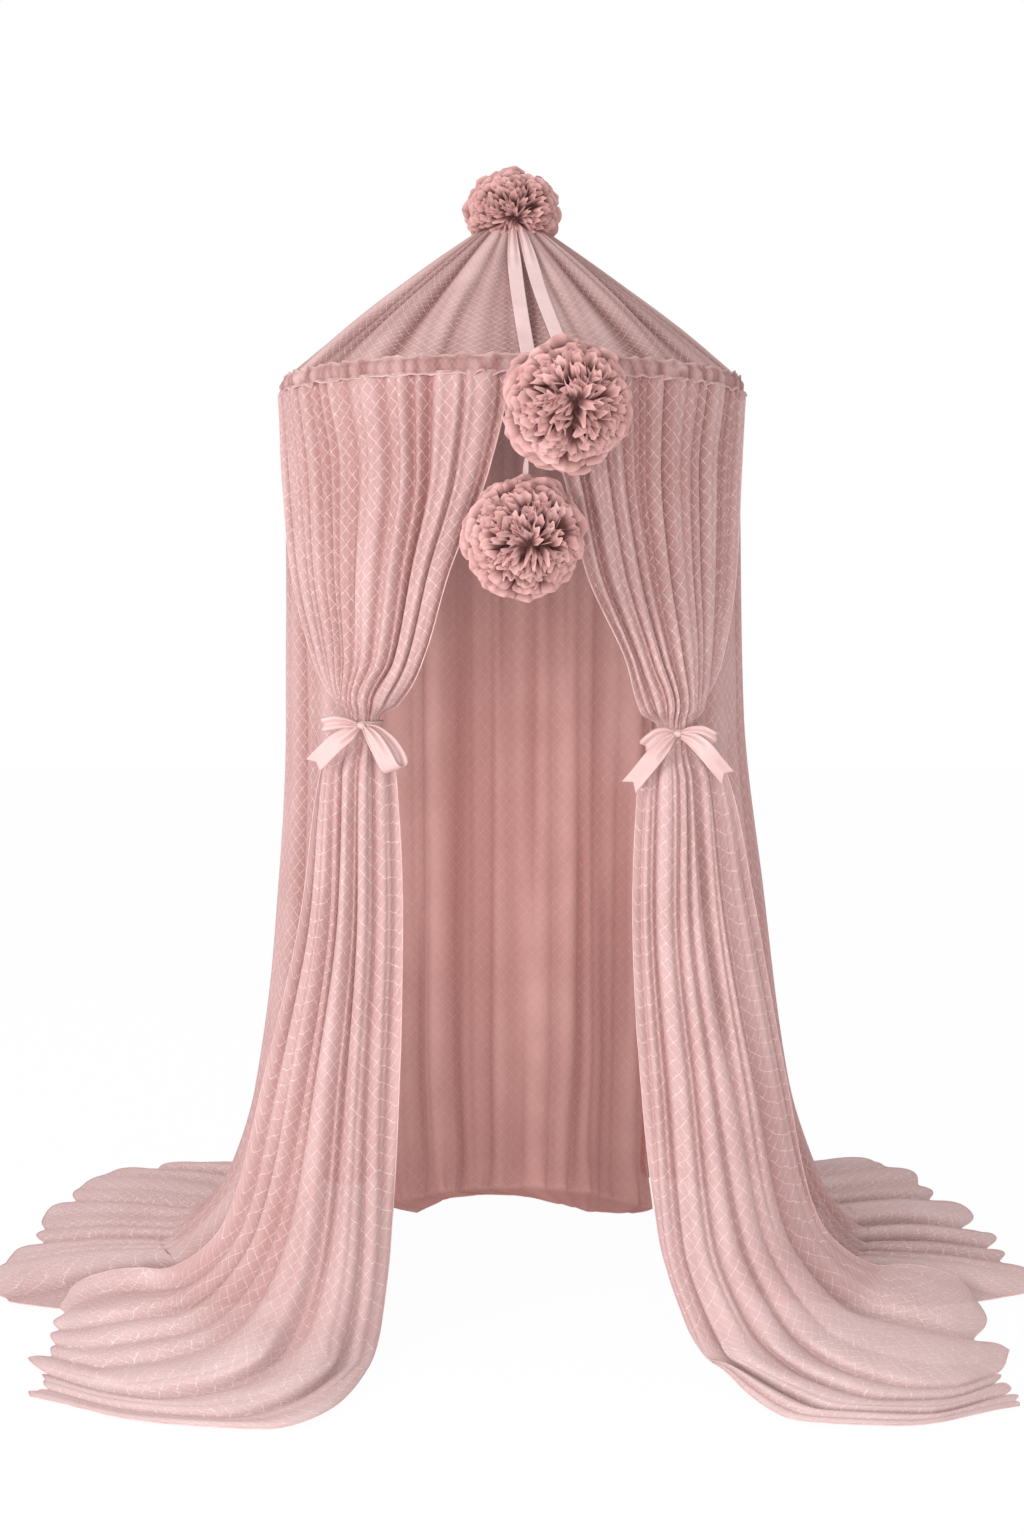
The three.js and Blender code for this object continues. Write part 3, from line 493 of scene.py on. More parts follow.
def creases(u, v, count, seed, main=0.5, tight=0.2, stray=0.35, closed=False):
    """The creases across a cloth: 0 on a crest, up to 1 in a crease, from v = 0 down to v = 1."""
    random = np.random.default_rng(seed)
    u, v = np.broadcast_arrays(u, v)
    smooth = np.ones(u.shape)
    for k in range(count):
        # where the crease runs on its way down
        home, lean, bend = random.uniform(-stray, stray, 3) * (1, 1, 0.5)
        turns, start = random.uniform(0.4, 1.3), random.uniform(0, math.tau)
        line = (k + 0.5 + home + lean * v + bend * np.sin(math.tau * turns * v + start)) / count
        off = (u - line) * count
        if closed:
            off = (off + count / 2) % count - count / 2
        # the stretch where it is deep, which for a main crease is nearly its whole length
        middle, span = random.uniform(0, 1), random.uniform(0.15, 0.35)
        if random.uniform() < main:
            middle, span = random.uniform(0.3, 0.7), 1.2
        fade = np.exp(-((v - middle) / span) ** 4)
        # how wide and how deep it is
        wide = tight * random.uniform(0.7, 1.7)
        near = np.exp(0.4 - np.sqrt((off / wide) ** 2 + 0.16))
        smooth *= 1 - random.uniform(0.5, 1) * fade * near
    return 1 - smooth


print("creases ready")

# %% [markdown]
# The cloth's shape is given in a few rows from top to bottom. `through_rows` finds all the rows
# between them, closer together where the cloth is tied, and without overshooting, because a cubic
# that overshoots would dip a hem below the floor. `outward` says in which direction folds stand.

# %% Rows of cloth
FOCUS_SPAN = 60


def through_rows(rows, count, focus=None):
    """Rows of points and of their values, smoothly through the given ones with no overshoot.

    focus is a row that needs its new rows closer together."""
    gaps = np.linalg.norm(np.diff(rows[..., :3], axis=0), axis=-1).mean(-1)
    place = summed(gaps)
    fine = np.linspace(0, place[-1], 2000)
    dense = np.ones_like(fine)
    if focus is not None:
        dense += 3 * np.exp(-(((fine - place[focus]) / FOCUS_SPAN) ** 2))
    total = summed((dense[1:] + dense[:-1]) / 2)
    new = np.interp(np.linspace(0, total[-1], count), total, fine)
    step = np.diff(place)[:, None, None]
    rise = np.diff(rows, axis=0) / step
    # a slope is flat at a turning point and the harmonic mean elsewhere, so nothing overshoots
    slope = np.zeros_like(rows)
    same = rise[1:] * rise[:-1] > 0
    with np.errstate(divide="ignore", invalid="ignore"):
        mean = 2 * rise[1:] * rise[:-1] / (rise[1:] + rise[:-1])
    slope[1:-1] = np.where(same, mean, 0)
    slope[0], slope[-1] = rise[0], rise[-1]
    i = np.clip(np.searchsorted(place, new, side="right") - 1, 0, len(gaps) - 1)
    h = step[i]
    t = ((new - place[i]) / gaps[i])[:, None, None]
    made = (rows[i] * (1 + 2 * t) * (1 - t) ** 2 + slope[i] * h * t * (1 - t) ** 2
            + rows[i + 1] * t**2 * (3 - 2 * t) + slope[i + 1] * h * t**2 * (t - 1))
    return made, new


def outward(surface):
    """Unit vectors square to a cloth of rows and columns, on its outer or upper side."""
    square = np.cross(np.gradient(surface, axis=0), np.gradient(surface, axis=1))
    return square / np.maximum(np.linalg.norm(square, axis=-1, keepdims=True), 1e-9)


print("row helpers ready")

# %% [markdown]
# The raw edge of each curtain is rolled and sewn into a thin hem, which shows as a paler line. It
# follows an edge, so Geometry Nodes make it: the tree turns the mesh's open edges into a curve,
# below the rim where they are free, and sweeps a small circle along it. The result is taken as a
# plain mesh.

# %% Rolled hem
hem_thread, tree = new_material("hem_thread")
stitches = noise(tree, own_place(tree), 420.0, 1.0)[0]
surface_from(tree, dyed(tree, linear(222, 188, 186), linear(206, 164, 161), 40.0),
             scaled(tree, stitches, 0.2, 0.7), (stitches, 0.6, 0.0006))

HEM_RADIUS = 0.8
HEM_TOP = CURTAIN_TOP - 3
hem_tree = bpy.data.node_groups.new("rolled_hem", "GeometryNodeTree")
for label, kind in (("Geometry", "NodeSocketGeometry"), ("Hem Radius", FLOAT)):
    hem_tree.interface.new_socket(label, in_out="INPUT", socket_type=kind)
hem_tree.interface.new_socket("Geometry", in_out="OUTPUT", socket_type="NodeSocketGeometry")
read = wire(hem_tree, "NodeGroupInput").outputs
open_edge = wire(hem_tree, "FunctionNodeCompare", {
    2: wire(hem_tree, "GeometryNodeInputMeshEdgeNeighbors").outputs[0], 3: 1},
    data_type="INT", operation="EQUAL").outputs[0]
height = parts(hem_tree, wire(hem_tree, "GeometryNodeInputPosition").outputs[0])["Z"]
below_the_rim = wire(hem_tree, "FunctionNodeCompare", {
    0: height, 1: (HEM_TOP - HOOK_HEIGHT) * MM}, operation="LESS_THAN").outputs[0]
free_edge = wire(hem_tree, "FunctionNodeBooleanMath", {0: open_edge, 1: below_the_rim}).outputs[0]
line = wire(hem_tree, "GeometryNodeMeshToCurve", {"Mesh": read[0], "Selection": free_edge})
around = wire(hem_tree, "GeometryNodeCurvePrimitiveCircle",
              {"Resolution": 6, "Radius": read["Hem Radius"]})
swept = wire(hem_tree, "GeometryNodeCurveToMesh",
             {"Curve": line.outputs[0], "Profile Curve": around.outputs[0]})
real = wire(hem_tree, "GeometryNodeRealizeInstances", {"Geometry": swept.outputs[0]})
done = wire(hem_tree, "GeometryNodeSetMaterial",
            {"Geometry": real.outputs[0], "Material": hem_thread})
wire(hem_tree, "NodeGroupOutput", {0: done.outputs[0]})


def plain_copy(source, name):
    """The plain mesh of an object with its modifiers applied, in place of the object."""
    view = bpy.context.evaluated_depsgraph_get()
    mesh = bpy.data.meshes.new_from_object(source.evaluated_get(view))
    bpy.data.objects.remove(source)
    piece = bpy.data.objects.new(name, mesh)
    bpy.context.collection.objects.link(piece)
    return piece


def grow(piece, tree, **values):
    """Give a piece a tree of Geometry Nodes, its inputs set before the piece is first looked at."""
    modifier = piece.modifiers.new(tree.name, "NODES")
    modifier.node_group = tree
    keys = {s.name: s.identifier for s in tree.interface.items_tree if s.in_out == "INPUT"}
    for label, value in values.items():
        single = isinstance(value, (int, float))
        modifier[keys[label.replace("_", " ")]] = value if single else [float(x) for x in value]


def rolled_hem(cloth):
    edge = bpy.data.objects.new(cloth.name + "_edge", cloth.data)
    bpy.context.collection.objects.link(edge)
    grow(edge, hem_tree, Hem_Radius=HEM_RADIUS * MM)
    hem = plain_copy(edge, cloth.name.replace("lace", "hem"))
    hem.data.shade_smooth()
    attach(hem, "root")
    return hem


print("rolled_hem:", len(hem_tree.nodes), "nodes")

# %% [markdown]
# Each curtain is a table of rows from the rim to the hem. A row gives its height as a share of the
# rim's height, plan angles away from the front, distances from the axis as shares of the hoop's
# radius, the depth of its main, minor and pinched folds, and how far they turn inwards. The word
# "knot" stands for the two rows where the cloth is gathered into its tieback: there the folds are
# pushed inwards, because the satin band holds them from outside. The words "laid" and "near" give a
# row's points one by one, sideways, forward and up, where the cloth sweeps out over the floor.
# Folds that lie on the floor fall over to one side, so there each one leans towards the doorway.
# The tables describe a right-hand curtain, and side -1 turns one into its left-hand mate.

# %% Curtain tables
MINOR, PINCH, INWARD = 1, 2, 3


def control_rows(table, knot, columns):
    """The table's rows as points, with their fold depths and how far each lies on the floor."""
    u = np.linspace(0, 1, columns)
    rows, depths, laid = [], [], []
    for height, angles, reach, *folds in table:
        if height == "knot":
            turn = np.radians(BUNDLE_WRAP * (2 * u - 1) + knot[0])
            ring = np.stack([BUNDLE_RADIUS * np.sin(turn), -BUNDLE_RADIUS * np.cos(turn), 0 * u],
                            -1)
            up = angles * (BAND_HEIGHT + CLOTH) / 2
            rows.append(polar(knot[0], knot[1], knot[2] + up) + ring)
        elif height in ("laid", "near"):
            rows.append(smooth_line(np.array(angles, float) * (1, -1, 1), u))
        else:
            z = CURTAIN_TOP if height == "top" else max(height * RIM_HEIGHT, 1)
            rows.append(polar(smooth_through(angles, u), smooth_through(reach, u) * HOOP_RADIUS, z))
        depths.append(folds)
        laid.append(1.0 if height in (0, "laid") else 0.0)
    return np.array(rows), np.array(depths, float), np.array(laid), u


print("fold values after the main folds:", MINOR, PINCH, INWARD)

# %% [markdown]
# `curtain` turns a table into cloth. It finds the smooth surface through the rows, lays creases
# over it, and lifts the cloth between them outwards by the depth of its folds. The same creases
# give the `fold` value, which paints shade into them to go with the shape. Near the hem the edge
# runs out in lobes.

# %% Curtain builder
LEAN = 1.1
FLOOR_GAP = 0.8
HEM_START, HEM_LENGTH, HEM_FLARE = 0.82, 0.18, 1.5
KNOT_LENGTH = 0.02
# how strongly each kind of crease is painted in shade, and how much less below the knot
MAIN_SHADE, SMALL_SHADE = 0.8, 0.5
BELOW_KNOT_SHADE = 0.45


def curtain(name, table, side, counts, material, seed, size, knot=None, tuck=None,
            calm=None, tight=0.19, corners=((0, 0), (1, 0)), lobes=0):
    """One curtain with its rolled hem.

    counts are its main creases above and below the knot, its minor and its pinched ones. size is
    its rows and columns. corners are shares across and how far the hem runs out there."""
    down, across = size
    rows, depths, laid, u = control_rows(table, knot, across)
    extra = np.repeat(np.concatenate([depths, laid[:, None]], 1)[:, None, :], across, 1)
    focus = next((i for i, row in enumerate(table) if row[0] == "knot"), None)
    full, place = through_rows(np.concatenate([rows, extra], -1), down, focus)
    surface, depth, floor = full[..., :3], full[..., 3:7], full[..., 7]
    length = place[-1]
    v = np.repeat((place / length)[:, None], across, 1)
    uu = np.repeat(u[None, :], down, 0)
    upper, lower, minor, pinch = counts
    main = creases(uu, v, upper, seed, main=0.75, tight=tight)
    if knot:
        held = v[np.argmax(depth[:, 0, INWARD]), 0]
        below = creases(uu, (v - held) / (1 - held), lower, seed + 1, main=0.8, tight=tight)
        step = np.clip((v - held) / KNOT_LENGTH + 0.5, 0, 1)
        main = main + (below - main) * step
    small = creases(uu, v, minor, seed + 2, main=0.25, tight=0.24)
    pinched = creases(uu, v, pinch, seed + 3, main=0.9, tight=0.3)
    inward = depth[..., INWARD] + (tuck(uu, v) if tuck else 0)
    lift = sum(depth[..., k] * (1 - dip - inward) for k, dip in enumerate((main, small, pinched)))
    if calm:
        lift *= calm(uu, v)
    # crest is the `fold` value: 0 where a crease is painted in shade
    most = np.maximum(depth.max((0, 1)), 1)
    crest = 1 - np.clip(MAIN_SHADE * main + SMALL_SHADE * small * depth[..., MINOR] / most[MINOR]
                        + SMALL_SHADE * pinched * depth[..., PINCH] / most[PINCH], 0, 1)
    if knot:
        crest = 1 - (1 - crest) * (1 - BELOW_KNOT_SHADE * step)
    # the hem runs out in lobes and corners
    flow = np.gradient(surface, axis=0)
    flow[..., 2] = 0
    flow /= np.maximum(np.linalg.norm(flow, axis=-1, keepdims=True), 1e-9)
    out = np.interp(uu, *zip(*corners)) + lobes * (1.2 - 2 * main)
    out = out * np.clip((v - HEM_START) / HEM_LENGTH, 0, 1) ** HEM_FLARE
    # where it lies on the floor, each fold leans over towards the doorway and shades its foot
    over = np.gradient(surface, axis=1)
    over /= np.maximum(np.linalg.norm(over, axis=-1, keepdims=True), 1e-9)
    lean = (lift - lift.mean(1, keepdims=True)) * floor * LEAN
    placed = (surface + outward(surface) * lift[..., None] - over * lean[..., None]
              + flow * out[..., None])
    placed[..., 2] = np.maximum(placed[..., 2], FLOOR_GAP)
    placed[..., 0] *= side
    if side < 0:
        placed, crest, floor = placed[:, ::-1], crest[:, ::-1], floor[:, ::-1]
    across_run = runs(placed, 1)
    across_run -= across_run[:, across // 2][:, None]
    piece = grid_mesh(name, placed, material, across_run, runs(placed, 0))
    mark(piece, fold=crest, laid=floor)
    stand_for(piece, name.replace("lace_", "curtain_"))
    hem = rolled_hem(piece)


print("curtain builder ready")

# %% [markdown]
# The two front panels. Their doorway edge sweeps from the rim down to the tieback, and below it
# the cloth falls almost straight. On the floor it turns away from the doorway, so its folds run in
# long curves and the hem with its corners lies far out at the side.

# %% Front panels
LEFT_KNOT = (37.8, 342, 867)
RIGHT_KNOT = (40.2, 356, 856)

left_panel = [
    ("top", [1, 20, 39, 58, 77], [OUTER, OUTER], 6, 3, 6, 0.5),
    (0.985, [1.0, 20, 38.8, 57.5, 75.5], [OUTER, OUTER], 13, 5, 8, 0.5),
    (0.898, [4.7, 20, 35, 51, 67], [1.02, 1.02, 1.02], 16, 8, 9, 0.4),
    (0.795, [13.6, 24, 36, 48.5, 60.5], [1.02, 1.03, 1.02], 20, 9, 4, 0.35),
    (0.706, [20.4, 28, 36, 44, 51.4], [1.01, 1.05, 1.015], 19, 7, 1, 0.3),
    (0.662, [29, 33, 37.8, 42, 46.5], [0.97, 1.06, 1.08, 1.06, 0.98], 11, 4, 1, 0.4),
    ("knot", 1, None, 6, 2, 1, 1),
    ("knot", -1, None, 6, 2, 1, 1),
    (0.589, [31, 34, 38, 42, 44.5], [0.96, 1.06, 1.09, 1.1, 1.09], 14, 5, 1, 0.25),
    (0.456, [28.5, 33, 37.5, 42, 46.5], [0.985, 1.09, 1.12, 1.14, 1.15], 20, 8, 0.5, 0.25),
    (0.258, [27.3, 33, 39.5, 46.5, 54], [1.05, 1.17, 1.21, 1.23, 1.245], 22, 9, 0, 0.25),
    ("near", [(172, 345, 150), (228, 375, 150), (288, 356, 146), (350, 304, 138),
              (402, 232, 128)], None, 23, 9, 0, 0.15),
    ("near", [(184, 395, 42), (245, 440, 50), (322, 422, 54), (408, 350, 56),
              (474, 232, 56)], None, 26, 6, 0, 0.1),
    ("laid", [(189, 470, 2), (262, 508, 16), (357, 486, 22), (458, 385, 30), (536, 205, 36)],
     None, 30, 4, 0, 0),
    ("laid", [(216, 572, 2), (312, 565, 6), (425, 518, 10), (521, 396, 24), (590, 192, 32)],
     None, 24, 3, 0, 0),
    ("laid", [(300, 644, 2), (400, 592, 3), (500, 520, 5), (574, 392, 16), (622, 190, 27)],
     None, 16, 2, 0, 0),
    ("laid", [(452, 622, 2), (507, 562, 2), (560, 490, 3), (606, 376, 10), (640, 198, 20)],
     None, 10, 2, 0, 0),
    ("laid", [(612, 545, 1), (622, 488, 1), (632, 436, 1), (642, 352, 4), (650, 222, 12)],
     None, 5, 1, 0, 0),
]
right_panel = [
    ("top", [2.5, 21, 39, 58, 77], [OUTER, OUTER], 6, 3, 6, 0.5),
    (0.985, [3.3, 21.2, 38.8, 57.5, 75.5], [OUTER, OUTER], 13, 5, 8, 0.5),
    (0.898, [10.4, 23, 37, 52, 66.5], [1.02, 1.02, 1.02], 16, 8, 9, 0.4),
    (0.795, [16.1, 27, 38.5, 50.5, 62], [1.02, 1.04, 1.03], 17, 8, 4, 0.35),
    (0.706, [26.5, 33, 40, 47.5, 55], [1.02, 1.09, 1.04], 14, 6, 1, 0.3),
    (0.655, [32.5, 36, 40.2, 44.5, 49], [1.0, 1.1, 1.12, 1.1, 1.01], 11, 4, 1, 0.4),
    ("knot", 1, None, 6, 2, 1, 1),
    ("knot", -1, None, 6, 2, 1, 1),
    (0.583, [32.7, 36, 40.5, 45.5, 49.5], [0.996, 1.1, 1.13, 1.14, 1.13], 14, 5, 1, 0.25),
    (0.456, [30.3, 35, 40.5, 46.5, 53], [1.02, 1.12, 1.17, 1.2, 1.21], 20, 8, 0.5, 0.25),
    (0.258, [30.8, 36, 42.5, 49.5, 57], [1.08, 1.21, 1.28, 1.32, 1.33], 22, 9, 0, 0.25),
    ("near", [(210, 335, 150), (262, 372, 150), (322, 354, 146), (382, 304, 138),
              (430, 234, 128)], None, 23, 9, 0, 0.15),
    ("near", [(245, 392, 42), (300, 434, 50), (372, 414, 54), (446, 350, 56), (502, 232, 56)],
     None, 26, 6, 0, 0.1),
    ("laid", [(268, 452, 2), (325, 492, 16), (407, 470, 22), (496, 378, 30), (560, 205, 36)],
     None, 30, 4, 0, 0),
    ("laid", [(294, 540, 2), (372, 548, 6), (467, 505, 10), (550, 388, 24), (612, 192, 32)],
     None, 24, 3, 0, 0),
    ("laid", [(352, 620, 2), (446, 588, 3), (537, 515, 5), (600, 388, 16), (642, 190, 27)],
     None, 16, 2, 0, 0),
    ("laid", [(482, 634, 2), (542, 578, 2), (592, 500, 3), (632, 376, 10), (657, 198, 20)],
     None, 10, 2, 0, 0),
    ("laid", [(636, 575, 1), (645, 512, 1), (652, 450, 1), (660, 362, 4), (668, 216, 12)],
     None, 5, 1, 0, 0),
]


def along_the_doorway(u, v):
    """Near the floor the doorway edge hangs plain."""
    return 1 - 0.75 * np.clip(1 - u / 0.07, 0, 1) * np.clip((v - 0.55) / 0.15, 0, 1)


curtain("lace_front_left", left_panel, -1, (18, 8, 15, 30), curtain_lace, 11, (230, 260),
        knot=LEFT_KNOT, calm=along_the_doorway,
        corners=((0, 6), (0.05, 16), (0.26, -16), (0.5, 26), (0.66, -4), (1, 6)), lobes=14)
curtain("lace_front_right", right_panel, 1, (18, 8, 15, 30), curtain_lace, 47, (230, 260),
        knot=RIGHT_KNOT, calm=along_the_doorway,
        corners=((0, 6), (0.06, 16), (0.35, -12), (0.62, 24), (0.78, -6), (1, 4)), lobes=14)

# %% [markdown]
# The side curtains start behind the front panels, so their folds turn inwards along that edge to
# leave the panels room. Both sides have the same folds and differ a little in their outline. The
# back curtain is plainer cloth in broad folds, and its spare length comes forward on the floor.

# %% Side and back curtains
SIDE_ANGLES = [52, 66, 80, 95, 110, 124, 138]
SIDE_REACH = [INNER, INNER, 0.99, 1, 1, 1, 1]
UPPER_ANGLES = [50, 65, 80, 95, 110, 124, 138]
LOWER_ANGLES = [49, 65, 81, 95, 110, 124, 138.5]
SIDE_FOLDS = [
    ("top", 5, 3, 6, 0.5), (0.985, 7, 4, 7, 0.5), (0.8, 12, 5, 1, 0.3), (0.638, 14, 5, 0, 0.3),
    (0.426, 17, 5, 0, 0.2), (0.21, 20, 6, 0, 0.2), (0.09, 22, 7, 0, 0.1), (0.03, 28, 9, 0, 0.1),
    (0, 33, 10, 0, 0), (0, 30, 9, 0, 0), (0, 12, 5, 0, 0),
]
left_side = [
    (SIDE_ANGLES, SIDE_REACH),
    (SIDE_ANGLES, SIDE_REACH),
    (UPPER_ANGLES, SIDE_REACH),
    ([46, 63, 79, 95, 110, 124, 138], [0.97, 0.98, 0.99, 1, 1, 1, 1]),
    (LOWER_ANGLES, [0.975, 0.99, 1.02, 1.05, 1.05, 1.04, 1.01]),
    ([56, 70, 83, 96, 111, 125, 140], [1, 1.06, 1.12, 1.15, 1.16, 1.13, 1.04]),
    ([60, 73, 85, 97, 112, 127, 142], [1.03, 1.17, 1.26, 1.3, 1.3, 1.24, 1.08]),
    ([62, 75, 86, 98, 113, 128, 143], [1.05, 1.32, 1.43, 1.47, 1.45, 1.38, 1.12]),
    ([62, 76, 86.5, 98.5, 113, 128, 143], [1.08, 1.48, 1.6, 1.64, 1.63, 1.56, 1.2]),
    ([62, 75.5, 87, 99, 113, 128, 143], [1.1, 1.78, 1.9, 1.93, 1.95, 1.92, 1.32]),
    ([62.5, 74, 87, 99, 113, 126, 141], [1.12, 2.25, 2.24, 2.27, 2.36, 2.35, 1.45]),
]
right_side = [
    (SIDE_ANGLES, SIDE_REACH),
    (SIDE_ANGLES, SIDE_REACH),
    (UPPER_ANGLES, [0.98, 0.98, 1, 1.01, 1.01, 1.01, 1]),
    ([46.5, 63, 79, 95, 110, 124, 138], [0.97, 0.98, 1.01, 1.03, 1.03, 1.02, 1]),
    (LOWER_ANGLES, [0.975, 1.01, 1.08, 1.13, 1.12, 1.08, 1.01]),
    ([58, 71, 83, 96, 111, 125, 140], [1, 1.1, 1.19, 1.25, 1.24, 1.18, 1.04]),
    ([62, 75, 86, 98, 113, 127, 142], [1.04, 1.22, 1.33, 1.4, 1.38, 1.3, 1.08]),
    ([64, 76.5, 87, 99, 114, 128, 143], [1.06, 1.36, 1.48, 1.53, 1.5, 1.42, 1.12]),
    ([64, 77.5, 88, 100, 114, 128, 143], [1.09, 1.52, 1.64, 1.68, 1.66, 1.58, 1.2]),
    ([64, 77, 88.5, 101, 114, 128, 143], [1.1, 1.8, 1.92, 1.94, 1.96, 1.94, 1.32]),
    ([64.5, 75.5, 88, 100, 114, 128, 141], [1.12, 2.23, 2.27, 2.25, 2.33, 2.4, 1.45]),
]
back_rows = [
    ("top", [135, 180, 225], [0.975, 1, 0.975], 0, 1, 3, 0.4),
    (0.985, [135, 180, 225], [0.97, 1, 0.97], 5, 2, 3, 0.5),
    (0.8, [135, 180, 225], [0.96, 1, 0.96], 20, 5, 0, 0.5),
    (0.5, [135, 180, 225], [0.955, 1, 0.955], 24, 6, 0, 0.5),
    (0.2, [136.5, 158, 180, 202, 223.5], [0.955, 1.01, 1.04, 1.01, 0.955], 26, 6, 0, 0.4),
    (0.05, [137.5, 160, 180, 200, 221], [0.96, 1.03, 1.06, 1.03, 0.96], 26, 6, 0, 0.2),
    (0, [137, 160, 180, 199, 220], [0.97, 1.05, 1.07, 1.05, 0.96], 20, 6, 0, 0),
    (0, [138, 150, 165, 180, 197, 217], [0.93, 0.82, 0.88, 0.98, 0.99, 0.86], 14, 6, 0, 0),
]


def behind_the_panel(u, v):
    """Folds turn fully inwards at the hidden front edge of a side curtain."""
    return np.clip(1 - u / 0.34, 0, 1) * 0.8 * (v < 0.75)


def under_the_train(u, v):
    """On the floor that edge lies flat, under the front panel's outermost fold."""
    return 1 - np.clip(1 - (u - 0.06) / 0.1, 0, 1) * np.clip((v - 0.8) / 0.06, 0, 1) * 0.9


for name, outline, side, seed in (("lace_side_left", left_side, -1, 83),
                                  ("lace_side_right", right_side, 1, 131)):
    table = [(height, *shape, *folds) for shape, (height, *folds) in zip(outline, SIDE_FOLDS)]
    curtain(name, table, side, (11, 0, 20, 26), curtain_lace, seed, (200, 290),
            tuck=behind_the_panel, calm=under_the_train, lobes=22)
curtain("lace_back", back_rows, 1, (13, 0, 20, 24), back_cloth, 171, (160, 300),
        tight=0.3, lobes=9)

# %% [markdown]
# The roof is one ring of cloth, sewn flat into the casing and gathered tightly at the neck, so its
# radial folds start shallow at the rim and deepen as the cloth crowds together. A closed ring has
# no seam to hide if every wave across it fits a whole number of times.

# %% Roof
ROOF_EDGE = RIM_HEIGHT + CASING_HALF + SEAM_GAP + CLOTH / 2
ROOF_SAG = 6
NECK_STAND = 12
STEEP = math.atan2(NECK_HEIGHT - ROOF_EDGE, HOOP_RADIUS - NECK_RADIUS)
BROAD_FOLDS, NARROW_FOLDS, SEAM_PLEATS = 28, 52, 96
BROAD_DEPTH = 14
ROOF_ROWS, ROOF_COLUMNS = 70, 720


def roof_line(share):
    """The roof's plain cone: distance from the axis and height, from rim 0 to neck 1."""
    radius = HOOP_RADIUS + (NECK_RADIUS - HOOP_RADIUS) * share
    height = ROOF_EDGE + (NECK_HEIGHT - ROOF_EDGE) * share - ROOF_SAG * np.sin(np.pi * share)
    return radius, height


def roof_folds(u, share):
    """How far the folds stand up from the cone, and the broad and narrow folds themselves."""
    # the folds are deepest halfway up, and low again where they are held
    crowd = np.sin(np.pi * np.clip(share, 0, 0.97) ** 0.8)
    broad = 1 - creases(u, share, BROAD_FOLDS, 211, main=1, closed=True, stray=0.3)
    narrow = 1 - creases(u, share, NARROW_FOLDS, 223, main=0.6, closed=True, tight=0.24)
    pleats = 1 - creases(u, share, SEAM_PLEATS, 227, main=1, closed=True, tight=0.3)
    gather = np.clip((share - 0.55) / 0.3, 0, 1)
    seam = np.clip(1 - share / 0.12, 0, 1) * np.clip(share / 0.02, 0, 1)
    lift = (BROAD_DEPTH * crowd * broad + (2 + 2.5 * gather) * crowd * narrow
            + 2 * seam * pleats)
    return lift * np.clip(roof_line(share)[0] / 60, 0.35, 1), broad, narrow


u = np.arange(ROOF_COLUMNS) / ROOF_COLUMNS
# three more rows stand straight up, for the neck that the binding holds
share = np.concatenate([np.linspace(0, 1, ROOF_ROWS), [1.0, 1.0, 1.0]])
stand = np.concatenate([np.zeros(ROOF_ROWS), [4, 8, NECK_STAND]])
radius, height = roof_line(share)
height = height + stand
uu, vv = np.meshgrid(u, share)
lift, broad, narrow = roof_folds(uu, vv)
lift *= (stand == 0)[:, None]
roof_rows = polar(360 * uu, radius[:, None] + lift * math.sin(STEEP),
                  height[:, None] + lift * math.cos(STEEP))
slant = np.hypot(np.diff(radius), np.diff(height))
roof = grid_mesh("lace_roof", roof_rows[:, ::-1], roof_lace, u[::-1] * math.tau * HOOP_RADIUS,
                 summed(slant), wrap=True)
# the `fold` value paints shade into the roof's broad and narrow creases
mark(roof, fold=(broad * (0.35 + 0.65 * narrow))[:, ::-1], laid=0 * uu)
stand_for(roof, "roof_cloth")
print("lace_roof:", round(slant.sum()), "mm from the rim to the top of the neck")

# %% [markdown]
# The rim is a strip of the same lace, puckered round the hoop by its two rows of stitching. Its
# section is a soft roll with a frilled lip above and below. Its third numbers are `fold` values,
# high at the lips, so that the material shows them as the paler, doubled edges that they are.
# Between the lips the `fold` value falls in the hollow of each pucker, where shade is painted.

# %% Puckered rim
rim_lace = lace("rim_lace", linear(208, 174, 172), linear(132, 84, 80), linear(240, 220, 218),
                diamond=(0.012, 0.012), opaque=0.97, strength=0.3)
RIM_SECTION = [
    (-6.5, 7.6, 0.2), (-3, 8.6, 0.2), (1.5, 12, 0.6), (3.6, 13.6, 1), (4.4, 10.4, 0.2),
    (6, 7.4, 0), (8.4, 4, 0), (9.2, 0, 0), (8.8, -4, 0), (8.2, -7.2, 0), (8.6, -10, 0),
    (13, -14, 1), (10.6, -14.4, 0.9), (5, -10.2, 0), (-3, -8.6, 0), (-6.5, -7.6, 0)]
RIM_COLUMNS = 1260
RIM_PUCKERS = 120
RIM_CUT = 60
PATTERN_CROWDING = 1.5
CRUMPLE, FRILL = 0.8, 1.6

u = np.arange(RIM_COLUMNS) / RIM_COLUMNS
t = np.linspace(0, 1, 31)
out, up, edge = smooth_line(RIM_SECTION, t).T[:, :, None]
uu, tt = np.meshgrid(u, t)
belly = np.clip(1 - np.abs(up) / 9, 0, 1)
fringe = np.clip((np.abs(up) - 7.5) / 3, 0, 1)
pucker = 1 - creases(uu, tt, RIM_PUCKERS, 301, main=0.9, closed=True, tight=0.3, stray=0.45)
crumple = CRUMPLE * ripples(311, 130, 1.5, terms=10)(uu, tt)
frill = FRILL * fringe * ripples(317, 80, 0.2, terms=8)(uu, np.sign(up) + 0 * uu)
rim_rows = polar(360 * uu, HOOP_RADIUS + out + belly * (6 * pucker - 3) + crumple + frill,
                 RIM_HEIGHT + up + crumple + frill)
rim = grid_mesh("rim_puckers", rim_rows[:, ::-1], rim_lace,
                u[::-1] * math.tau * HOOP_RADIUS * PATTERN_CROWDING, t * RIM_CUT, wrap=True)
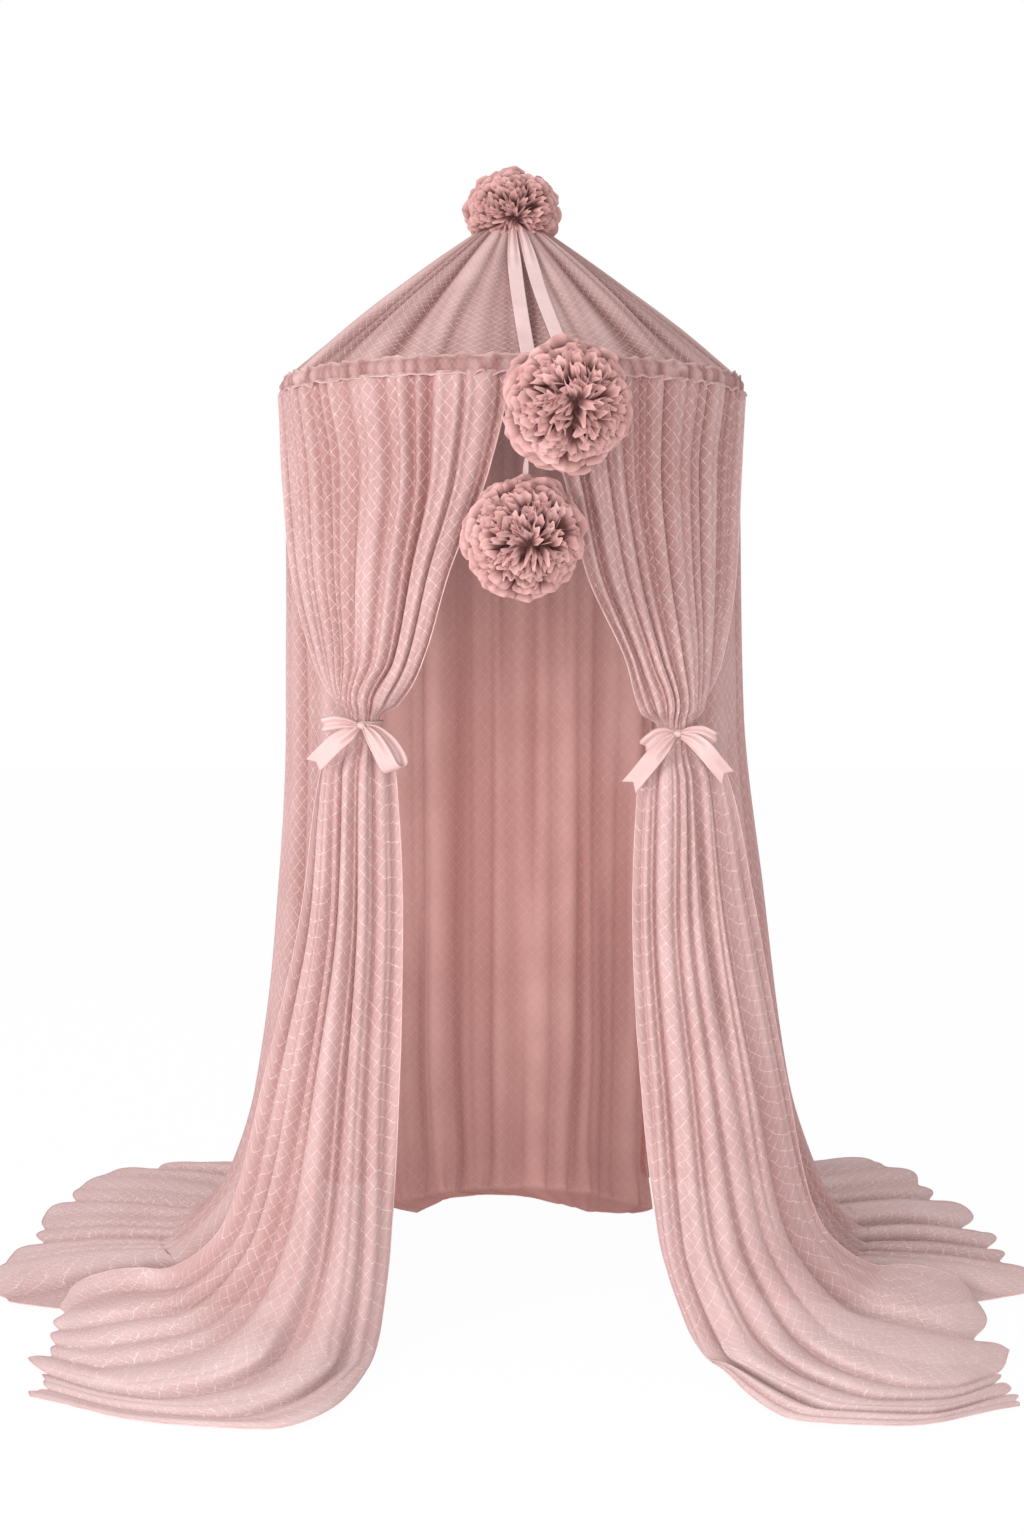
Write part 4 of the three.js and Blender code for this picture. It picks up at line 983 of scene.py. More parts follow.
# pale at the lips, and painted shade in the hollow of each pucker
lip_and_pucker_shade = edge + (1 - edge) * (0.1 + 0.9 * pucker**1.5)
mark(rim, fold=lip_and_pucker_shade[:, ::-1], laid=0 * uu)
stand_for(rim, "rim_ruffle")
print("rim_puckers:", RIM_COLUMNS, "columns round the hoop")

# %% [markdown]
# Satin is smooth and tightly woven, so it shines softly and shows its fine ribs only close up. Its
# finish is a low roughness that the ribs vary a little, with a coat of sheen at the edges. The bows
# and the ribbons that carry the poms are one satin, but the ribbons lie where less light reaches
# them, on the roof and in the poms' shade, so a lighter copy paints light on them; there are two
# satins.

# %% Satin material
SATIN_RIBS = math.tau * 900


def satin_cloth(name, colour, deeper):
    material, tree = new_material(name)
    cloth = wire(tree, "ShaderNodeUVMap", uv_map="UVMap").outputs[0]
    ribs = maths(tree, "SINE", times(tree, parts(tree, cloth)["Y"], SATIN_RIBS))
    surface_from(tree, dyed(tree, colour, deeper, 14.0), scaled(tree, ribs, 0.03, 0.38),
                 (ribs, 0.15, 0.0002), Sheen_Weight=0.2, Sheen_Roughness=0.35)
    return material


satin = satin_cloth("blush_satin", linear(210, 175, 172), linear(199, 162, 159))
# the same satin painted lighter: painted light for the ribbons on the roof and in the poms' shade
pale_satin = satin_cloth("pale_satin", linear(229, 197, 195), linear(217, 181, 179))
print("satins:", satin.name, pale_satin.name)

# %% [markdown]
# A ribbon is a strip along a smooth line, with a width vector at each point of it. `strip` makes
# one, with a cut end like a swallow's tail where it is asked for, and a Solidify modifier gives it
# its thickness. All the ribbons, bow loops and tails are made with it.

# %% Ribbon builder
SATIN_THICKNESS = 0.8
STRIP_STEPS, STRIP_ACROSS = 56, 17
STRIP_WAVES = 1.5


def thicken(piece, thickness):
    solid = piece.modifiers.new("thickness", "SOLIDIFY")
    solid.thickness = thickness * MM
    solid.offset = 0


def strip(name, centres, widths, node, ribbon, body="root", notch=0.0,
          cloth=satin, thickness=SATIN_THICKNESS):
    """A ribbon along its centres. Where it is pinched narrower than the ribbon is, it pleats."""
    t = np.linspace(-0.5, 0.5, STRIP_ACROSS)
    s = np.linspace(0, 1, STRIP_STEPS)[:, None] * (1 - notch * (1 - np.abs(2 * t)))[None, :]
    middle, wide = smooth_line(centres, s), smooth_line(widths, s)
    face = np.cross(np.gradient(middle, axis=0), wide)
    face /= np.maximum(np.linalg.norm(face, axis=-1, keepdims=True), 1e-9)
    width = np.maximum(np.linalg.norm(wide, axis=-1), 1)
    pleat = width / (np.pi * STRIP_WAVES) * np.sqrt(np.maximum(ribbon / width - 1, 0))
    bend = pleat * np.cos(math.tau * STRIP_WAVES * t)
    rows = middle + wide * t[None, :, None] + face * bend[..., None]
    run = np.linalg.norm(np.diff(middle[:, STRIP_ACROSS // 2], axis=0), axis=-1)
    piece = grid_mesh(name, rows, cloth, t * ribbon, summed(run))
    thicken(piece, thickness)
    stand_for(piece, node, body)


print("ribbon builder ready")

# %% [markdown]
# Two ribbons come out from under the top pom, cross the roof and turn over the rim, where each
# pom's hanging stretch begins. That stretch is a piece of its own, because it swings. The second
# one hangs longer, and twists on its way down.

# %% Ribbons
RIBBON = 20
PUCKER = 1.6
RIM_TURN = HOOP_RADIUS + 8.5 + PUCKER + SEAM_GAP + 0.4
RIM_TURN_HEIGHT = RIM_HEIGHT + CASING_HALF - 0.8
RIBBON_START = 58.8
RIBBON_REST = 1.4
FOLD_LINE = 0.7
POM_RADIUS = 83
RIBBON_POCKET = 34
PENDANTS = {
    1: dict(neck=12, mid=10.4, rim=11.7, pom=np.array([71.0, -445, 1293]), twist=0),
    2: dict(neck=0.5, mid=2, rim=3.6, pom=np.array([16.0, -393, 1124]), twist=108),
}


def over_the_folds(angles, share):
    """Height of a ribbon laid over the roof's folds, which it bridges from crest to crest."""
    radius, cone = roof_line(share)
    beside = np.linspace(-0.6, 0.6, 9)[:, None] * RIBBON / radius / math.tau
    near = np.linspace(-0.03, 0.03, 5)[:, None, None]
    lift = roof_folds(angles / 360 + beside, np.clip(share + near, 0, 1))[0].max((0, 1))
    return cone + (lift + RIBBON_REST) / math.cos(STEEP)


def turned(arrow, axis, degrees):
    """A vector turned round a unit axis."""
    a = math.radians(degrees)
    return (arrow * math.cos(a) + np.cross(axis, arrow) * math.sin(a)
            + axis * (axis @ arrow) * (1 - math.cos(a)))


share = np.linspace(0, 1, 9)
radii = RIBBON_START + (HOOP_RADIUS - RIBBON_START) * share
to_neck = (HOOP_RADIUS - radii) / (HOOP_RADIUS - NECK_RADIUS)
opening = 0.5 + 0.5 * np.clip(share / 0.3, 0, 1)
twisting = np.clip((share - 0.4) / 0.35, 0, 1)
for number, pendant in PENDANTS.items():
    hinge = polar(pendant["rim"], RIM_TURN, RIM_TURN_HEIGHT)
    axis = hinge - pendant["pom"]
    reach = np.linalg.norm(axis)
    axis = axis / reach
    level = np.array([1.0, 0, 0])
    level -= axis * (axis @ level)
    level /= np.linalg.norm(level)
    angles = smooth_through([pendant["neck"], pendant["mid"], pendant["rim"]], share)
    line = list(polar(angles, radii, over_the_folds(angles, to_neck)))
    wide = list(polar(pendant["rim"] + 90, RIBBON * opening, 0))
    line += [polar(pendant["rim"], HOOP_RADIUS + 6.5, RIM_TURN_HEIGHT + 2.2), hinge]
    wide += [level * RIBBON] * 2
    # both stretches of ribbon take the satin painted lighter, as painted light
    strip(f"ribbon_{number}_over_roof", line, wide, f"ribbon_{number}_roof", RIBBON,
          cloth=pale_satin)
    length = reach - POM_RADIUS + RIBBON_POCKET - 0.3
    line = [hinge - axis * (FOLD_LINE + (length - FOLD_LINE) * k) for k in share]
    wide = [turned(level, axis, pendant["twist"] * k * k * (3 - 2 * k)) * RIBBON
            for k in twisting]
    strip(f"ribbon_{number}_hanging", line, wide, f"ribbon_{number}_drop", RIBBON,
          body=f"pendant_{number}", cloth=pale_satin)

# %% [markdown]
# Each tieback is a satin band round the gathered cloth, with a knot in front and a bow tied from
# it. The bows are not alike: the left one has a drooping loop and one tail, the right one has two
# tails. Their strips are given as offsets from the knot, right, forward and up, with the width
# vector in the same terms. Last comes the notch in a strip's cut end, as a share of its length.

# %% Bow tables
BOWS = {
    "left": dict(knot=LEFT_KNOT, side=-1, strips={
        "loop_upper": (
            [(-5, 1, 1), (-18, 5, 4), (-34, 7, 5), (-50, 4, 2), (-51, -3, 2), (-36, -5, 4),
             (-18, -3, 4), (-5, -1, 1)],
            [(-1, 0, 7), (-2, 0, 14), (-4, 0, 19), (-2, 0, 19), (-2, 0, 19), (-3, 0, 17),
             (-2, 0, 12), (-1, 0, 7)], 0),
        "loop_lower": (
            [(5, 2, -1), (17, 8, -16), (29, 11, -36), (40, 11, -57), (48, 5, -61), (54, -1, -55),
             (50, -3, -40), (37, -2, -20), (20, -1, -5), (5, 0, 1)],
            [(7, 0, 4), (18, 0, 9), (23, 0, 8), (23, 0, 9), (23, 0, 9), (22, 0, 9), (21, 0, 8),
             (19, 0, 9), (14, 0, 8), (6, 0, 4)], 0),
        "tail": (
            [(-5, 3, -2), (-16, 8, -10), (-33, 11, -22), (-50, 11, -38), (-66, 9, -54)],
            [(5, 0, -7), (11, 0, -15), (14, 2, -20), (17, 3, -19), (20, 3, -16)], 0.07),
    }),
    "right": dict(knot=RIGHT_KNOT, side=1, strips={
        "loop_left": (
            [(-5, 0, 1), (-17, 4, 1), (-29, 6, -3), (-39, 5, -11), (-46, 1, -18), (-38, -4, -12),
             (-28, -5, -4), (-17, -4, 0), (-5, -1, 0)],
            [(-1, 0, 7), (-3, 0, 17), (-7, 0, 20), (-12, 0, 18), (-13, 0, 17), (-12, 0, 18),
             (-7, 0, 19), (-3, 0, 15), (-1, 0, 7)], 0),
        "loop_right": (
            [(5, 0, 1), (19, 3, 3), (35, 4, 1), (50, 1, -7), (51, -5, -8), (36, -6, 0),
             (19, -4, 3), (5, -1, 1)],
            [(0, 0, 7), (-2, 0, 14), (3, 0, 19), (7, 0, 18), (7, 0, 18), (3, 0, 17),
             (-2, 0, 12), (0, 0, 6)], 0),
        "tail_left": (
            [(-5, 3, -2), (-18, 9, -14), (-34, 12, -32), (-51, 12, -53), (-68, 9, -74)],
            [(5, 0, -6), (14, 1, -14), (19, 2, -16), (19, 3, -16), (19, 3, -16)], 0.09),
        "tail_right": (
            [(5, 3, -2), (20, 9, -8), (37, 12, -22), (53, 12, -41), (70, 9, -61)],
            [(4, 0, 7), (9, -1, 17), (15, -2, 20), (17, -3, 18), (17, -3, 18)], 0.09),
    }),
}
print("strips in each bow:", {place: list(bow["strips"]) for place, bow in BOWS.items()})

# %% [markdown]
# The band is a short satin strip round the bundle, pulled tight. The knot in front of it is a lump
# of cloth wrapped over itself: rings of points that draw in at both sides, with pleats over the
# front. Every strip of the tables starts inside it, so that the bow looks tied from one piece.

# %% Bows
BOW_RIBBON = 25
BAND_RADIUS = 28.3
KNOT_GAP = 1.4
KNOT_WIDTH, KNOT_DEPTH, KNOT_GIRTH = 13, 10, 32
KNOT_FORWARD, KNOT_UP = 4.6, 5.6
KNOT_CREASE = 0.18
WRINKLE = 0.3


def tie_band(name, centre):
    """A soft satin band, wrinkled a little where it is pulled tight."""
    u = np.arange(96) / 96
    up = np.linspace(-1, 1, 7)
    uu, vv = np.meshgrid(u, up)
    wrinkle = WRINKLE * ripples(401, 14, 0.6)(uu, vv)
    rows = polar(360 * uu, BAND_RADIUS + 0.5 * (1 - vv**2) + wrinkle,
                 up[:, None] * BAND_HEIGHT / 2 + wrinkle)
    band = grid_mesh(name, rows[:, ::-1] + centre, satin, u[::-1] * math.tau * BAND_RADIUS,
                     up * BAND_HEIGHT / 2, wrap=True)
    thicken(band, SATIN_THICKNESS)
    return band


def bow_knot(name, centre):
    """A small wrapped lump: pleats run over its front and gather at its two sides."""
    across = np.linspace(0.02, 0.98, 25)
    turn = np.arange(48) / 48
    tt, aa = np.meshgrid(turn, across)
    swell = np.sin(np.pi * aa) ** 0.45
    crease = 1 - KNOT_CREASE * creases(aa, tt, 4, 411, main=1, tight=0.3) * swell
    rows = np.stack([(aa - 0.5) * KNOT_WIDTH,
                     -np.cos(math.tau * tt) * KNOT_FORWARD * swell * crease,
                     np.sin(math.tau * tt) * KNOT_UP * swell * crease], -1) + centre
    knot = grid_mesh(name, rows, satin, turn * KNOT_GIRTH, across * KNOT_WIDTH, wrap=True)
    # each open end is closed with one face
    edit = bmesh.new()
    edit.from_mesh(knot.data)
    bmesh.ops.holes_fill(edit, edges=[e for e in edit.edges if e.is_boundary])
    bmesh.ops.recalc_face_normals(edit, faces=edit.faces)
    edit.to_mesh(knot.data)
    edit.free()
    return knot


for place, bow in BOWS.items():
    middle = polar(*bow["knot"]) * (bow["side"], 1, 1)
    knot_place = middle - (0, BAND_RADIUS + KNOT_GAP + KNOT_DEPTH / 2, 0)
    band = tie_band(f"satin_band_{place}", middle)
    knot = bow_knot(f"satin_knot_{place}", knot_place)
    stand_for(band, f"tie_band_{place}")
    stand_for(knot, f"bow_{place}_knot")
    for part, (line, wide, notch) in bow["strips"].items():
        strip(f"satin_{place}_{part}", [knot_place + (x, -y, z) for x, y, z in line],
              [(x, -y, z) for x, y, z in wide], f"bow_{place}_{part}", BOW_RIBBON,
              notch=notch)
print("bows tied")

# %% [markdown]
# A pom is a ball of gathered petals round a wound core. Its cloth is dull and a little fuzzy. Deep
# between the petals hardly any light gets in, and there it looks dark and warm; the material paints
# that shade. Each petal carries a `tip` value, 0 at its root and 1 at its edge, and the material
# goes from the dark painted shade to the pale colour with it.

# %% Petal material
petals, tree = new_material("ruffle_petals")
share = ranged(tree, point_value(tree, "tip"), 0.48, 1.03, smooth=True)
shade = dyed(tree, linear(211, 164, 160), linear(193, 144, 140), 30.0)
grain = noise(tree, own_place(tree), 900.0)[0]
# the dark colour at each petal's root is painted shade
surface_from(tree, mixed(tree, share, linear(98, 52, 49), shade),
             scaled(tree, grain, 0.15, 0.78), (grain, 0.35, 0.0006),
             Sheen_Weight=0.35, Sheen_Roughness=0.5, Sheen_Tint=WARM_SHEEN)
print("ruffle_petals:", len(tree.nodes), "nodes")

# %% [markdown]
# Hundreds of alike petals are a job for Geometry Nodes. One petal is a small flat grid, whose
# points the tree moves into a fan: narrow at the root, wide, ruffled and curled at the edge.

# %% One petal
def one_petal(tree, length, width, ruffle):
    """A fan of cloth from a narrow root to a wide, rounded and ruffled edge."""
    grid = wire(tree, "GeometryNodeMeshGrid", {"Size X": 2.0, "Size Y": 1.0, "Vertices X": 14,
                                               "Vertices Y": 6}).outputs["Mesh"]
    spot = parts(tree, wire(tree, "GeometryNodeInputPosition").outputs[0])
    # x goes from side to side, -1 to 1, and out from the root to the edge, 0 to 1
    x, out = spot["X"], maths(tree, "ADD", spot["Y"], 0.5)
    square, far = times(tree, x, x), times(tree, out, out)
    # half the petal's width there: narrow at the root, then soon full
    half = times(tree, maths(tree, "POWER", maths(tree, "MAXIMUM", out, 0.03), 0.6),
                 times(tree, width, scaled(tree, far, -0.12, 0.56)))
    # the edge ruffles up and down
    wave = maths(tree, "SINE", scaled(tree, x, 6.4, 0.6))
    rise = times(tree, times(tree, wave, ruffle), times(tree, length, far))
    # the sides bend back, with a groove down the middle
    groove = maths(tree, "EXPONENT", times(tree, square, -14.0))
    cup = times(tree, times(tree, width, out),
                maths(tree, "ADD", times(tree, square, -0.28), times(tree, groove, -0.12)))
    # the edge curls back, and its corners are rounded off
    curl = times(tree, times(tree, far, out), times(tree, length, -0.2))
    reach = times(tree, times(tree, out, length), scaled(tree, square, -0.24, 1.0))
    shape = combined(tree, times(tree, x, half), reach,
                     maths(tree, "ADD", rise, maths(tree, "ADD", cup, curl)))
    named = wire(tree, "GeometryNodeStoreNamedAttribute", {
        "Geometry": grid, "Name": "tip", "Value": out},
        data_type="FLOAT", domain="POINT").outputs[0]
    return wire(tree, "GeometryNodeSetPosition",
                {"Geometry": named, "Position": shape}).outputs[0]


print("petal ready")

# %% [markdown]
# The petals' roots spread over a ball by the golden angle, which leaves no rows or rings to see,
# and stray a little. They are closer together towards the flower's middle, which faces the viewer.

# %% Petal places
GOLDEN_ANGLE = 2.399963


def aimed(tree, first, second, primary, secondary):
    """A rotation that turns one axis towards a vector, and a second axis as near as it can."""
    return wire(tree, "FunctionNodeAxesToRotation", {0: first, 1: second},
                primary_axis=primary, secondary_axis=secondary).outputs[0]


def at_random(tree, low, high, seed):
    return wire(tree, "FunctionNodeRandomValue", {0: low, 1: high, "Seed": seed},
                data_type="FLOAT_VECTOR").outputs[0]


def petal_places(tree, read):
    """Points, each one's way out of the ball, how far that faces the axis, and the way off it."""
    index = wire(tree, "GeometryNodeInputIndex").outputs[0]
    points = wire(tree, "GeometryNodePoints", {"Count": read["Petals"]}).outputs[0]
    # a spiral on an upright ball
    share = maths(tree, "DIVIDE", maths(tree, "ADD", index, 0.5), read["Petals"])
    level = scaled(tree, maths(tree, "POWER", share, 1.4), -2.0, 1.0)
    turn = scaled(tree, index, GOLDEN_ANGLE, read["Seed"])
    flat = maths(tree, "SQRT", maths(tree, "SUBTRACT", 1.0, times(tree, level, level)))
    upright = combined(tree, times(tree, flat, maths(tree, "COSINE", turn)),
                       times(tree, flat, maths(tree, "SINE", turn)), level)
    # the ball turned towards the flower's axis
    to_axis = aimed(tree, read["Flower Axis"], (1, 0, 0), "Z", "X")
    spot = wire(tree, "FunctionNodeRotateVector", {0: upright, 1: to_axis}).outputs[0]
    stray = at_random(tree, (-0.05,) * 3, (0.05,) * 3, maths(tree, "ADD", read["Seed"], 7.0))
    ball = vector(tree, "NORMALIZE", vector(tree, "ADD", spot, stray))
    facing = vector(tree, "DOT_PRODUCT", ball, read["Flower Axis"])
    away = vector(tree, "NORMALIZE", vector(
        tree, "SUBTRACT", vector(tree, "SCALE", ball, scale=facing), read["Flower Axis"]))
    return points, ball, facing, away


print("petal places ready")

# %% [markdown]
# The tree stands a petal on each place. Near the flower's middle the petals stand up close together
# and leave dark crevices; further out they lie back over each other like scales. All that is random
# in it follows from one seed.

# %% Petal tree
def petal_tree():
    tree = bpy.data.node_groups.new("petal_ball", "GeometryNodeTree")
    for label, kind, value in (
            ("Geometry", "NodeSocketGeometry", None), ("Centre", VECTOR, (0, 0, 0)),
            ("Flower Axis", VECTOR, (0, -1, 0)), ("Radius", FLOAT, 0.08),
            ("Petals", "NodeSocketInt", 300), ("Petal Length", FLOAT, 0.03),
            ("Petal Width", FLOAT, 0.03), ("Ruffle", FLOAT, 0.1), ("Well", FLOAT, 0.0),
            ("Seed", "NodeSocketInt", 1)):
        socket = tree.interface.new_socket(label, in_out="INPUT", socket_type=kind)
        if value is not None:
            socket.default_value = value
    tree.interface.new_socket("Geometry", in_out="OUTPUT", socket_type="NodeSocketGeometry")
    read = wire(tree, "NodeGroupInput").outputs
    points, ball, facing, away = petal_places(tree, read)
    # petals stand up near the axis and lie back further out
    off_axis = maths(tree, "SQRT", maths(tree, "SUBTRACT", 1.0, facing))
    lean = ranged(tree, off_axis, 0.0, 1.07, -0.25, 1.12)
    rise, lie = maths(tree, "COSINE", lean), maths(tree, "SINE", lean)
    growth = vector(tree, "ADD", vector(tree, "SCALE", ball, scale=rise),
                    vector(tree, "SCALE", away, scale=lie))
    front = vector(tree, "SUBTRACT", vector(tree, "SCALE", ball, scale=lie),
                   vector(tree, "SCALE", away, scale=rise))
    swing = at_random(tree, (-0.2, -0.5, -0.3), (0.2, 0.5, 0.3), read["Seed"])
    loose = vector(tree, "MULTIPLY", swing,
                   combined(tree, 1.0, ranged(tree, facing, 1.0, 0.7, 3.4, 1.0), 1.0))
    stand = wire(tree, "FunctionNodeRotateRotation", {
        0: aimed(tree, growth, front, "Y", "Z"),
        1: wire(tree, "FunctionNodeEulerToRotation", {0: loose}).outputs[0]},
        rotation_space="LOCAL").outputs[0]
    # petals are shorter near the axis, and their roots lie deeper where they stand up
    tall = ranged(tree, facing, 1.0, 0.4, 0.66, 1.0)
    depth = times(tree, times(tree, read["Petal Length"], tall), scaled(tree, rise, 0.72, 0.14))
    root = vector(tree, "SCALE", ball, scale=maths(tree, "SUBTRACT", read["Radius"], depth))
    placed = wire(tree, "GeometryNodeSetPosition", {
        "Geometry": points, "Position": vector(tree, "ADD", read["Centre"], root)}).outputs[0]
    petal = one_petal(tree, read["Petal Length"], read["Petal Width"], read["Ruffle"])
    chance = wire(tree, "FunctionNodeRandomValue", {2: 0.82, 3: 1.12, "Seed": read["Seed"]},
                  data_type="FLOAT").outputs[1]
    size = combined(tree, times(tree, chance, ranged(tree, facing, 1.0, 0.45, 0.52, 1.1)),
                    times(tree, chance, tall), ranged(tree, facing, 1.0, 0.5, 1.9, 0.85))
    # none stands in the well
    from_middle = vector(tree, "LENGTH", vector(tree, "MULTIPLY", ball, (1, 1, 0)))
    clear = maths(tree, "GREATER_THAN", times(tree, from_middle, read["Radius"]), read["Well"])
    standing = wire(tree, "GeometryNodeInstanceOnPoints", {
        "Points": placed, "Selection": clear, "Instance": petal, "Rotation": stand,
        "Scale": size}).outputs[0]
    real = wire(tree, "GeometryNodeRealizeInstances", {"Geometry": standing}).outputs[0]
    joined = wire(tree, "GeometryNodeJoinGeometry")
    for part in (real, read["Geometry"]):
        tree.links.new(part, joined.inputs[0])
    smooth = wire(tree, "GeometryNodeSetShadeSmooth", {"Geometry": joined.outputs[0]}).outputs[0]
    done = wire(tree, "GeometryNodeSetMaterial", {"Geometry": smooth, "Material": petals})
    wire(tree, "NodeGroupOutput", {0: done.outputs[0]})
    return tree


petal_ball = petal_tree()
print("petal_ball:", len(petal_ball.nodes), "nodes")

# %% [markdown]
# Each pom's core carries the tree as a modifier, and the result is taken as a plain mesh, so that
# nothing live is left on it. The second pom is a touch smaller than the first. The top pom is
# squashed a little and has a well through it, for the neck, the loop and the hanging ring.

# %% Poms
CORE_SHARE, CORE_WELL, RING_CORE_HEIGHT = 0.66, 0.75, 0.7
PETAL_LENGTH, PETAL_WIDTH, RUFFLE = 0.44, 0.5, 0.1


def core(name, centre, radius, well):
    """What the petals are sewn to: a ball, or a thick ring round the well."""
    if well:
        turn = np.linspace(0, math.tau, 16, endpoint=False)
        section = np.stack([(radius + well) / 2 + (radius - well) / 2 * np.cos(turn),
                            RING_CORE_HEIGHT * radius * np.sin(turn)], -1)
        ball = closed_ring(name, section, 45, petals, centre)
    else:
        edit = bmesh.new()
        bmesh.ops.create_icosphere(edit, subdivisions=4, radius=radius)
        points = [np.array(v.co) + centre for v in edit.verts]
        ball = new_piece(name, points, [tuple(v.index for v in f.verts) for f in edit.faces],
                         petals)
        edit.free()
    mark(ball, tip=np.zeros(len(ball.data.vertices)))
    return ball


def places_of(piece):
    places = np.zeros(len(piece.data.vertices) * 3, np.float32)
    piece.data.vertices.foreach_get("co", places)
    return places.reshape(-1, 3)


def pom(name, node, body, centre, axis, radius, count, seed, squash=1.0, well=0):
    """A pom with so many petals, whose flower faces along the axis."""
    centre = np.asarray(centre, float)
    axis = np.asarray(axis, float) / np.linalg.norm(axis)
    ball = core(name + "_core", centre, CORE_SHARE * radius, CORE_WELL * well)
    middle = (centre - (0, 0, HOOK_HEIGHT)) * MM
    grow(ball, petal_ball, Centre=middle, Flower_Axis=axis, Radius=radius * MM,
         Petals=count, Petal_Length=PETAL_LENGTH * radius * MM,
         Petal_Width=PETAL_WIDTH * radius * MM, Ruffle=RUFFLE, Well=well * MM, Seed=seed)
    piece = plain_copy(ball, name)
    places = places_of(piece)
    places[:, 2] = middle[2] + (places[:, 2] - middle[2]) * squash
    piece.data.vertices.foreach_set("co", places.ravel())
    stand_for(piece, node, body)
    print(name, len(piece.data.polygons), "faces from", count, "petals")


pom("petal_pom_1", "pom_1", "flower_1", PENDANTS[1]["pom"], (0.16, -1, -0.02), POM_RADIUS, 370, 5)
pom("petal_pom_2", "pom_2", "flower_2", PENDANTS[2]["pom"], (0.12, -1, -0.12),
    POM_RADIUS - 4, 370, 9)
pom("petal_pom_top", "pom_top", "root", (1, -8, 1621), (0.05, -1, -0.32), 70, 320, 14,
    squash=0.87, well=26)

# %% [markdown]
# The neck is bound with cotton webbing, and a loop of the same webbing carries the steel ring that
# hangs on the ceiling hook. The top pom hides all three from the room, but they can be seen from
# above. Webbing is a ribbed weave, so its bump follows the band's own directions. The ring and the
# sleeves are steel with fine drawn lines, and the hoop's rods are white plastic, a little uneven.
# The hoop hardly shows through its casing, so its solids stay and only get these finishes.

# %% Webbing and steel
WEFT_RIBS = math.tau * 800
WARP_THREADS = 130.0

webbing, tree = new_material("cotton_webbing")
split = parts(tree, own_place(tree))
weft = maths(tree, "SINE", times(tree, split["Z"], WEFT_RIBS))
warp = maths(tree, "SINE", times(tree, maths(tree, "ARCTAN2", split["X"], split["Y"]),
                                 WARP_THREADS))
weave = times(tree, weft, warp)
surface_from(tree, dyed(tree, linear(226, 190, 187), linear(204, 162, 158), 60.0),
             scaled(tree, weave, 0.05, 0.82), (weave, 0.5, 0.0004))


def metal(name, colour, rough, scratch):
    """Drawn metal; scratch stretches the fine lines along one axis."""
    material, tree = new_material(name)
    place = own_place(tree)
    drawn = wire(tree, "ShaderNodeMapping", {"Vector": place, "Scale": scratch}).outputs[0]
    lines = noise(tree, drawn, 260.0, 4.0)[0]
    dulled = (*[0.75 * c for c in colour[:3]], 1)
    surface_from(tree, mixed(tree, noise(tree, place, 60.0)[0], colour, dulled),
                 scaled(tree, lines, 0.25, rough), (lines, 0.2, 0.0002), Metallic=1.0)
    return material


ring_steel = metal("ring_steel", (0.62, 0.61, 0.6, 1), 0.18, (1.0, 1.0, 1.0))
sleeve_steel = metal("sleeve_steel", (0.55, 0.55, 0.56, 1), 0.28, (0.2, 1.0, 1.0))

rod, tree = new_material("hoop_rod")
flow = noise(tree, own_place(tree), 35.0, 5.0)[0]
surface_from(tree, dyed(tree, linear(236, 233, 229), linear(224, 219, 213), 14.0),
             scaled(tree, flow, 0.2, 0.35), (flow, 0.12, 0.0004))
for node, finish in (("hoop_half_front", rod), ("hoop_half_back", rod),
                     ("hoop_sleeve_left", sleeve_steel), ("hoop_sleeve_right", sleeve_steel)):
    bpy.data.objects[node].material_slots[0].material = finish
print("hoop halves and sleeves finished")

# %% [markdown]
# The binding is a soft ring of webbing with a groove pulled into it above and below the middle. The
# steel ring is made lying down and then stood up in the loop, which is a strip like the ribbons.

# %% Binding, loop and ring
BINDING_INNER = 31.8
BINDING_WALL = 3
BINDING_HEIGHT = 14
BINDING_LOW = NECK_HEIGHT + CLOTH
BINDING_STEPS = 180
RING_RADIUS = 16
RING_WIRE = 1.75
RING_MIDDLE = 1673.75
LOOP_WIDTH = 12
LOOP_THICKNESS = 1.6
LOOP_TOP = RING_MIDDLE - RING_RADIUS + 4.2

outer = BINDING_INNER + BINDING_WALL
top = BINDING_LOW + BINDING_HEIGHT
section = np.array([
    (BINDING_INNER, BINDING_LOW + 0.6), (BINDING_INNER + 0.6, BINDING_LOW),
    (outer - 0.8, BINDING_LOW), (outer, BINDING_LOW + 1.2), (outer - 0.3, BINDING_LOW + 4),
    (outer, (BINDING_LOW + top) / 2), (outer - 0.3, top - 4), (outer, top - 1.2),
    (outer - 0.8, top), (BINDING_INNER + 0.6, top), (BINDING_INNER, top - 0.6)])
turn = np.linspace(0, 360, BINDING_STEPS, endpoint=False)[:, None] / 360
wrinkle = 0.25 * ripples(503, 40, 0)(turn, 0 * turn) * (section[:, 0] > outer - 1)
binding = closed_ring("webbing_binding", section, BINDING_STEPS, webbing, swell=wrinkle)
turn = np.linspace(0, math.tau, 14, endpoint=False)
section = np.stack([RING_RADIUS + RING_WIRE * np.cos(turn), RING_WIRE * np.sin(turn)], -1)
ring = closed_ring("steel_ring", section, 72, ring_steel)
x, y, z = places_of(ring).T
stood = np.stack([z + HOOK_HEIGHT * MM, x, y + (RING_MIDDLE - HOOK_HEIGHT) * MM], -1)
ring.data.vertices.foreach_set("co", stood.ravel().astype(np.float32))
stand_for(binding, "neck_binding")
stand_for(ring, "hanging_ring")
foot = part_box("hanging_loop")[1][0] / MM - LOOP_THICKNESS / 2
